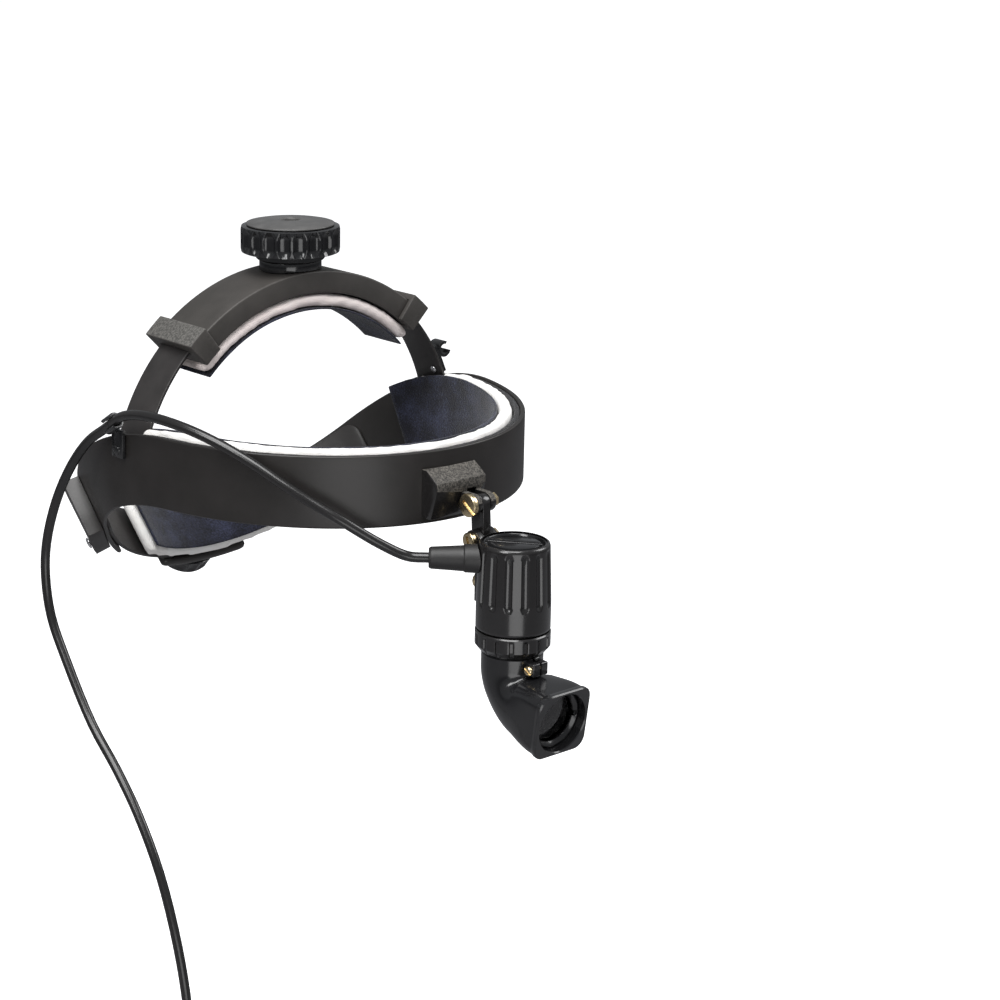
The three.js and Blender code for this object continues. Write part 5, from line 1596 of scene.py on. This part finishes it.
        outer = [self.elbow_loop(0.0, self.elbow_radius - 0.5 * MM, 0, self.mouth_half)]
        outer += [
            self.elbow_loop(run, self.elbow_radius, square_share(run), self.mouth_half)
            for run in (0.5 * MM + (length - 0.5 * MM) * k / 44 for k in range(45))
        ]
        rim = [(0.2, 0.0), (0.9, 0.35), (end / MM - length / MM - 0.5, 0.4), (end / MM - length / MM, -0.1)]
        outer += [
            self.elbow_loop(length + at * MM, self.bore, 1.0, self.mouth_half + grow * MM) for at,
            grow in rim
        ]
        seat = self.bore + 0.3 * MM
        mouth = [
            self.elbow_loop(end - d * MM, seat + g * MM, 0, self.mouth_half) for d,
            g in ((0.0, 0.4), (0.4, 0.0))
        ]
        mouth.append(self.elbow_loop(length - self.lens_depth, seat, 0, self.mouth_half))
        inside = self.elbow_radius - self.elbow_wall
        inner = [
            self.elbow_loop(run, inside, 0, self.mouth_half)
            for run in (length - self.lens_depth - (length - self.lens_depth) * k / 20 for k in range(21))
        ]
        shell = lofted([*outer, *mouth, *inner], "elbow_fine", ring=True)
        ear_y, ear_z = self.axis_y - self.elbow_radius, self.focus_bottom - 4 * MM
        lug = box_mesh(
            Vector((-4 * MM, ear_y - 4.2 * MM, ear_z - 2.6 * MM)),
            Vector((4 * MM, ear_y + 0.9 * MM, ear_z + 2.8 * MM)), 0.6 * MM
        )
        split = box_mesh(
            Vector((-0.6 * MM, ear_y - 6 * MM, self.focus_bottom - 6.6 * MM)),
            Vector((0.6 * MM, ear_y + 3 * MM, 0)), 0
        )
        thread = rod(1.1 * MM, -8 * MM, 8 * MM, (0, ear_y - 2 * MM, ear_z), Vector((1, 0, 0)))
        body = carved(carved(shell, [lug], keep=True), [split, thread])
        finished(body, "elbow_fine", GLOSS, Body.ELBOW, "elbow", sharp=32)
        screw_y = ear_y - 2 * MM
        outline = [
            (0, 5 * MM), (0.9 * MM, 5 * MM), (0.9 * MM, -4.3 * MM), (2 * MM, -4.3 * MM),
            (2 * MM, -5.2 * MM), (1.6 * MM, -5.6 * MM), (0, -5.6 * MM),
        ]
        screw = turned(rounded(outline, 0.15 * MM, 2, True), "pinch_screw_turned", 48)
        slot = box_mesh(
            Vector((-0.33 * MM, -3 * MM, -6.5 * MM)), Vector((0.33 * MM, 3 * MM, -5.13 * MM)), 0
        )
        slot.transform(Matrix.Rotation(math.radians(31), 4, "Z"))
        screw = moved(carved(screw, [slot]), (0, screw_y, ear_z), Vector((1, 0, 0)))
        finished(screw, "pinch_screw_turned", BRASS, Body.ELBOW, "pinch_screw", sharp=30)

    def mouth(self) -> None:
        """The lens and its retaining ring inside the mouth."""
        front = self.bezel - self.lens_depth
        radius = self.bore - 0.3 * MM
        dome = [
            (radius * math.cos(t), front - 1.4 * MM + 1.4 * MM * math.sin(t))
            for t in (math.pi / 2 * k / 12 for k in range(13))
        ]
        lens = turned(
            [(0, front - 2.4 * MM), (radius, front - 2.4 * MM), *dome[:-1], (0, front)], "front_lens_fine",
            96
        )
        place, ahead = self.elbow_axis(self.elbow_length)
        finished(moved(lens, place, ahead), "front_lens_fine", GLASS, Body.ELBOW, "front_lens")
        low, high = front - 1.4 * MM + 1.5 * MM, front + 2 * MM
        ring = [
            (self.bore - 2 * MM, low), (self.bore - 0.05 * MM, low), (self.bore - 0.05 * MM, high),
            (self.bore - 0.6 * MM, high), (self.bore - 2 * MM, high - 1.1 * MM),
        ]

        def notch(angle: float, height: float, r: float) -> float:
            """Two key slots in the ring's inner edge."""
            across = abs(math.sin(angle)) * self.bore
            return r + 0.9 * MM if r < self.bore - MM and across < 1.0 * MM else r

        ring_mesh = turned(rounded(ring, 0.2 * MM, 2), "lens_ring_fine", 160, notch)
        finished(
            moved(ring_mesh, place, ahead), "lens_ring_fine", GLOSS, Body.ELBOW, "lens_retainer", sharp=30
        )

    def boot(self) -> None:
        """The cord's strain relief: stepped and bored for the cord."""
        tip = self.radius + self.boot_length
        base = self.radius - 2 * MM
        bore, bore_end = 2.9 * MM, tip - 3.2 * MM
        outline = [
            (0, base), (5.9 * MM, base), (5.65 * MM, self.radius + 4.6 * MM),
            (5.2 * MM, self.radius + 5.2 * MM), (4.9 * MM, self.radius + 10 * MM),
            (4.45 * MM, tip - MM), (3.9 * MM, tip), (bore, tip), (bore, bore_end), (0, bore_end),
        ]
        # Rings along its length split its sides into short steps; the outline's closing side, on the axis,
        # needs none
        rings = split_sides(rounded(outline, 0.35 * MM, 3, is_open=True), self.boot_ring)
        off_axis = [point for point in rings if point[0] > ON_AXIS]
        mesh = turned([outline[0], *off_axis, outline[-1]], "cord_boot", 64)
        root = Vector((0, self.axis_y, self.boot_z))
        mesh = moved(mesh, root, self.boot_axis)
        barrel_room = rod(self.radius - 0.25 * MM, -60 * MM, 0.0, (0, self.axis_y, 0))
        bend_start = root + self.boot_axis * (self.radius + MM)
        bend_end = root + self.boot_axis * (tip - 4 * MM)
        bends = (Body.ARM, bend_start, bend_end)
        boot = carved(mesh, [barrel_room])
        finished(boot, "cord_boot", BOOT, Body.LAMP, "strain_relief", sharp=45, bends=bends)


@dataclass
class CordSet:
    """The cord from the boot, over the band and down to its tied coil and plug."""

    radius: float = 2.1 * MM
    hidden: float = 2.5 * MM
    coil_radius: float = 23 * MM
    coil_centre: Vector = field(default_factory=lambda: Vector((-103, -62, -292)) * MM)
    pitch: float = 4.35 * MM
    join_angle: float = 50.0
    tie_angle: float = 55.0
    # The route over the band, listed in millimetres
    lead: tuple[tuple[float, float, float], ...] = (
        (-25.8, -117.3, -24.6), (-31.6, -112.3, -24.2), (-41.5, -107.3, -18.6), (-54.7, -97.8, -8.4),
        (-63.2, -87.4, -1.0), (-69.0, -80.0, 4.4), (-76.2, -68.6, 12.0), (-83.2, -55.6, 18.6),
        (-89.2, -41.0, 23.0), (-93.4, -23.6, 24.6), (-94.8, -10.9, 23.2), (-95.2, -3.2, 20.6),
        (-95.25, 2.57, 16.98),
    )
    # The route from the clip down to the coil
    tail: tuple[tuple[float, float, float], ...] = (
        (-95.25, 2.83, 16.82), (-95.3, 8.6, 13.2), (-97.0, 17.6, 6.8), (-99.4, 27.6, -5.4),
        (-101.6, 37.6, -23.6), (-103.0, 44.0, -43.6), (-103.6, 44.6, -58.2), (-103.8, 40.6, -75.6),
        (-103.6, 29.0, -93.6), (-103.2, 10.6, -116.6), (-103.0, -7.6, -131.6), (-102.8, -22.6, -146.6),
        (-102.8, -38.6, -168.6), (-102.9, -51.0, -196.6), (-102.8, -57.4, -222.0), (-102.2, -58.4, -241.0),
        (-100.8, -54.0, -259.5),
    )

    def build(self) -> None:
        """Builds the cord in two lengths, which meet in the clip, with its tie and plug."""
        self.first_length()
        self.second_length()
        for node, name, finish in (
            ("cable_clip_right", "cord_clip", GLOSS), ("cable_clip_left", "spare_clip", GLOSS)
        ):
            body = Body.ROOT if node.endswith("right") else Body.STRAP_LEFT
            finished(softened(node, 0.25 * MM), name, finish, body, node)
        finished(
            softened("clip_rivet_left", 0.2 * MM), "spare_clip_rivet", STEEL, Body.STRAP_LEFT,
            "clip_rivet_left"
        )

    def first_length(self) -> None:
        """From the boot to the clip."""
        points = [Vector(p) * MM for p in self.lead]
        into_boot = (points[0] - points[1]).normalized() * self.hidden
        route = cord_route([points[0] + into_boot, *points])
        mesh = tube_along(route, self.radius, "cord_first")
        piece = finished(
            mesh, "cord_first", JACKET, Body.ROOT, "cord_lead", bends=(Body.ARM, points[4], points[1])
        )

    def lanes(self) -> list[tuple[float, float]]:
        """The places of the coil's turns in its bundle, as (out, across)."""
        half, high = self.pitch / 2, self.pitch * math.sqrt(3) / 2
        return [
            (half, high), (-half, high), (-self.pitch, 0), (-half, -high), (0, 0), (half, -high),
            (self.pitch, 0)
        ]

    def coil_points(self) -> list[Vector]:
        """The coil's turns, each sliding into the next lane under the tie."""
        lanes = self.lanes()
        per_turn = 30
        last = 90.0 + 360 * (len(lanes) - 1)
        count = round((last - self.join_angle) / 360 * per_turn)
        made = []
        for i in range(count + 1):
            angle = self.join_angle + (last - self.join_angle) * i / count
            turn = (angle - self.join_angle + 30) / 360
            lane = min(int(turn), len(lanes) - 1)
            share = min(1.0, (turn - int(turn)) * 6) if 0 < lane and turn < len(lanes) else 1.0
            share = share * share * (3 - 2 * share)
            before, after = lanes[max(lane - 1, 0)], lanes[lane]
            out = before[0] + (after[0] - before[0]) * share
            across = before[1] + (after[1] - before[1]) * share
            r, t = self.coil_radius + out, math.radians(angle)
            made.append(self.coil_centre + Vector((across, r * math.sin(t), r * math.cos(t))))
        return made

    def second_length(self) -> None:
        """From the clip down, round the coil and into the plug."""
        points = [Vector(p) * MM for p in self.tail]
        plug_low, plug_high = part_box("plug_body")
        plug_top = Vector(
            ((plug_low[0] + plug_high[0]) / 2, (plug_low[1] + plug_high[1]) / 2, plug_high[2])
        )
        way_in = [plug_top + UP * rise * MM for rise in (7, 2.5, -1)]
        route = cord_route([*points, *self.coil_points()], 4) + cord_route(
            [self.coil_points()[-1], *way_in], 5
        )[1:]
        piece = finished(
            tube_along(route, self.radius, "cord_second", 14), "cord_second", JACKET, Body.ROOT,
            "cord_tail", "cord_coil"
        )
        tie = self.tie()
        plug = self.plug(plug_top)

    def tie(self) -> bpy.types.Object:
        """The strip that keeps the turns together, with its free end."""
        outer = 8.6 * MM
        ring = rounded(
            [(7.5 * MM, -4 * MM), (outer, -4 * MM), (outer, 4 * MM), (7.5 * MM, 4 * MM)], 0.4 * MM
        )
        mesh = turned(ring, "coil_strip", 64)
        flap = box_mesh(
            Vector((-1.5 * MM, outer - 0.5 * MM, -3.6 * MM)), Vector((7 * MM, outer + 0.4 * MM, 3.6 * MM)),
            0.3 * MM
        )
        mesh = joined(mesh, flap)
        t = math.radians(self.tie_angle)
        place = self.coil_centre + Vector(
            (0, self.coil_radius * math.sin(t), self.coil_radius * math.cos(t))
        )
        along = Vector((0, math.cos(t), -math.sin(t)))
        return finished(moved(mesh, place, along), "coil_strip", BOOT, Body.ROOT, "coil_tie")

    def plug(self, top: Vector) -> list[bpy.types.Object]:
        """The in-line plug with its boot and its ribbed locking nut."""
        low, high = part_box("plug_body")
        length = high[2] - low[2]
        radius = (high[0] - low[0]) / 2
        sleeve = 14 * MM
        steps = 48
        taper = [
            (3.9 * MM - 1.4 * MM * k / steps, -sleeve + (sleeve - 0.3 * MM) * k / steps)
            for k in range(steps + 1)
        ]
        shell = [(0, -length), (radius, -length), (radius, -sleeve), (3.9 * MM, -sleeve)]
        bore, floor = 2.3 * MM, -2.2 * MM
        outline = [
            *rounded(shell, 0.6 * MM, 4, True)[:-1], *taper, (bore, -0.3 * MM), (bore, floor), (0, floor)
        ]

        def ribs(angle: float, height: float, r: float) -> float:
            """Rings on the plug's boot."""
            inside = -sleeve + MM < height < -2.5 * MM and r > 2.6 * MM
            return r - 0.25 * MM * (1 - math.cos(height * 2 * math.pi / (2.4 * MM))) / 2 if inside else r

        mesh = moved(turned(outline, "plug_shell", 64, ribs), top)
        body = finished(mesh, "plug_shell", PLUG, Body.ROOT, "plug_body")
        low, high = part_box("plug_nut")
        radius = (high[0] - low[0]) / 2
        knurls = 24

        def knurl(angle: float, height: float, r: float) -> float:
            """Fine ribs round the nut."""
            return r - 0.2 * MM * (1 + math.cos(knurls * angle)) / 2 if r > radius - 0.2 * MM else r

        outline = [
            (0, low[2]), (radius - 0.5 * MM, low[2]), (radius, low[2] + 0.5 * MM),
            (radius, high[2] - 0.8 * MM), (radius - 0.8 * MM, high[2]), (0, high[2]),
        ]
        mesh = moved(turned(outline, "plug_nut_fine", 192, knurl), (top.x, top.y, 0))
        return [body, finished(mesh, "plug_nut_fine", PLUG, Body.ROOT, "plug_nut")]


# ---------------------------------------------------------------- studio


@dataclass
class Studio:
    """The camera, the pale floor and the soft lights."""

    azimuth: float = -37.87
    elevation: float = 14.6
    distance: float = 1.0358
    lens: float = 85.0
    shift: tuple[float, float] = (0.2025, -0.0713)
    floor_z: float = -0.43

    def direction(self, azimuth: float, elevation: float) -> Vector:
        """The way from the object to a place round it, in degrees."""
        a, e = math.radians(azimuth), math.radians(elevation)
        return Vector((math.sin(a) * math.cos(e), -math.cos(a) * math.cos(e), math.sin(e)))

    def camera(self) -> None:
        """Sets up the camera."""
        data = bpy.data.cameras.new("camera")
        data.lens = self.lens
        data.sensor_width = 36.0
        data.shift_x, data.shift_y = self.shift
        data.clip_start = 0.01
        data.clip_end = 100.0
        camera = bpy.data.objects.new("camera", data)
        back = self.direction(self.azimuth, self.elevation)
        camera.location = back * self.distance
        camera.rotation_mode = "QUATERNION"
        camera.rotation_quaternion = (-back).to_track_quat("-Z", "Y")
        bpy.context.collection.objects.link(camera)
        bpy.context.scene.camera = camera

    def light(
        self, name: str, azimuth: float, elevation: float, distance: float, size: float, power: float
    ) -> None:
        """Hangs one square soft light that faces the object."""
        data = bpy.data.lights.new(name, "AREA")
        data.size = size
        data.energy = power
        lamp = bpy.data.objects.new(name, data)
        back = self.direction(azimuth, elevation)
        lamp.location = back * distance
        lamp.rotation_mode = "QUATERNION"
        lamp.rotation_quaternion = (-back).to_track_quat("-Z", "Y")
        bpy.context.collection.objects.link(lamp)

    def floor_material(self) -> bpy.types.Material:
        """White where the camera sees it and grey to the object's reflections."""
        made = bpy.data.materials.new("floor_white")
        made.use_nodes = True
        tree = made.node_tree
        seen = tree.nodes["Principled BSDF"]
        seen.inputs["Base Color"].default_value = (0.9, 0.9, 0.9, 1)
        seen.inputs["Roughness"].default_value = 0.9
        seen.inputs["Emission Color"].default_value = (1, 1, 1, 1)
        seen.inputs["Emission Strength"].default_value = 0.8
        dim = add(tree, "BsdfDiffuse", Color=(0.26, 0.26, 0.27, 1))
        rays = add(tree, "LightPath")
        both = add(
            tree, "MixShader", _0=rays.outputs["Is Camera Ray"], _1=dim.outputs[0], _2=seen.outputs[0]
        )
        tree.links.new(both.outputs[0], tree.nodes["Material Output"].inputs["Surface"])
        return made

    def build(self) -> None:
        """Lays the floor and sets the lights."""
        floor = mesh_of(
            "floor",
            [Vector((x, y, self.floor_z)) for x, y in ((-30, -30), (30, -30), (30, 30), (-30, 30))],
            [(0, 1, 2, 3)]
        )
        floor.materials.append(self.floor_material())
        plane = bpy.data.objects.new("floor", floor)
        bpy.context.collection.objects.link(plane)
        world = bpy.data.worlds.new("studio")
        bpy.context.scene.world = world
        world.use_nodes = True
        tree = world.node_tree
        seen = tree.nodes["Background"]
        seen.inputs["Color"].default_value = (1, 1, 1, 1)
        seen.inputs["Strength"].default_value = 1.0
        soft = add(tree, "Background", Color=(0.93, 0.96, 1.0, 1.0), Strength=0.27)
        rays = add(tree, "LightPath")
        both = add(
            tree, "MixShader", _0=rays.outputs["Is Camera Ray"], _1=soft.outputs[0], _2=seen.outputs[0]
        )
        tree.links.new(both.outputs[0], tree.nodes["World Output"].inputs["Surface"])
        self.light("overhead", -50, 68, 1.6, 1.1, 30)
        self.light("left_key", -75, 35, 1.8, 0.7, 13)
        self.light("right_rim", 60, 35, 1.8, 0.9, 14)
        self.light("bounce", -30, -18, 1.1, 0.7, 3.5)
        bpy.context.scene.view_settings.view_transform = "Standard"


def dress_kept_nodes() -> None:
    """Gives the CAD nodes that stay their finishes."""
    for node, finish in KEPT_NODES.items():
        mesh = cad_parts[node].data
        mesh.materials.clear()
        mesh.materials.append(finish.material())


def main() -> None:
    """Builds the studio, the cord and every sub-assembly in order."""
    logging.basicConfig(level=logging.INFO, format="%(name)s: %(message)s")
    studio = Studio()
    studio.camera()
    CordSet().build()
    BrowBand().build()
    NapeBand().build()
    Crown().build()
    ArmAndBracket().build()
    LampHead().build()
    dress_kept_nodes()
    studio.build()


if __name__ == "__main__":
    main()
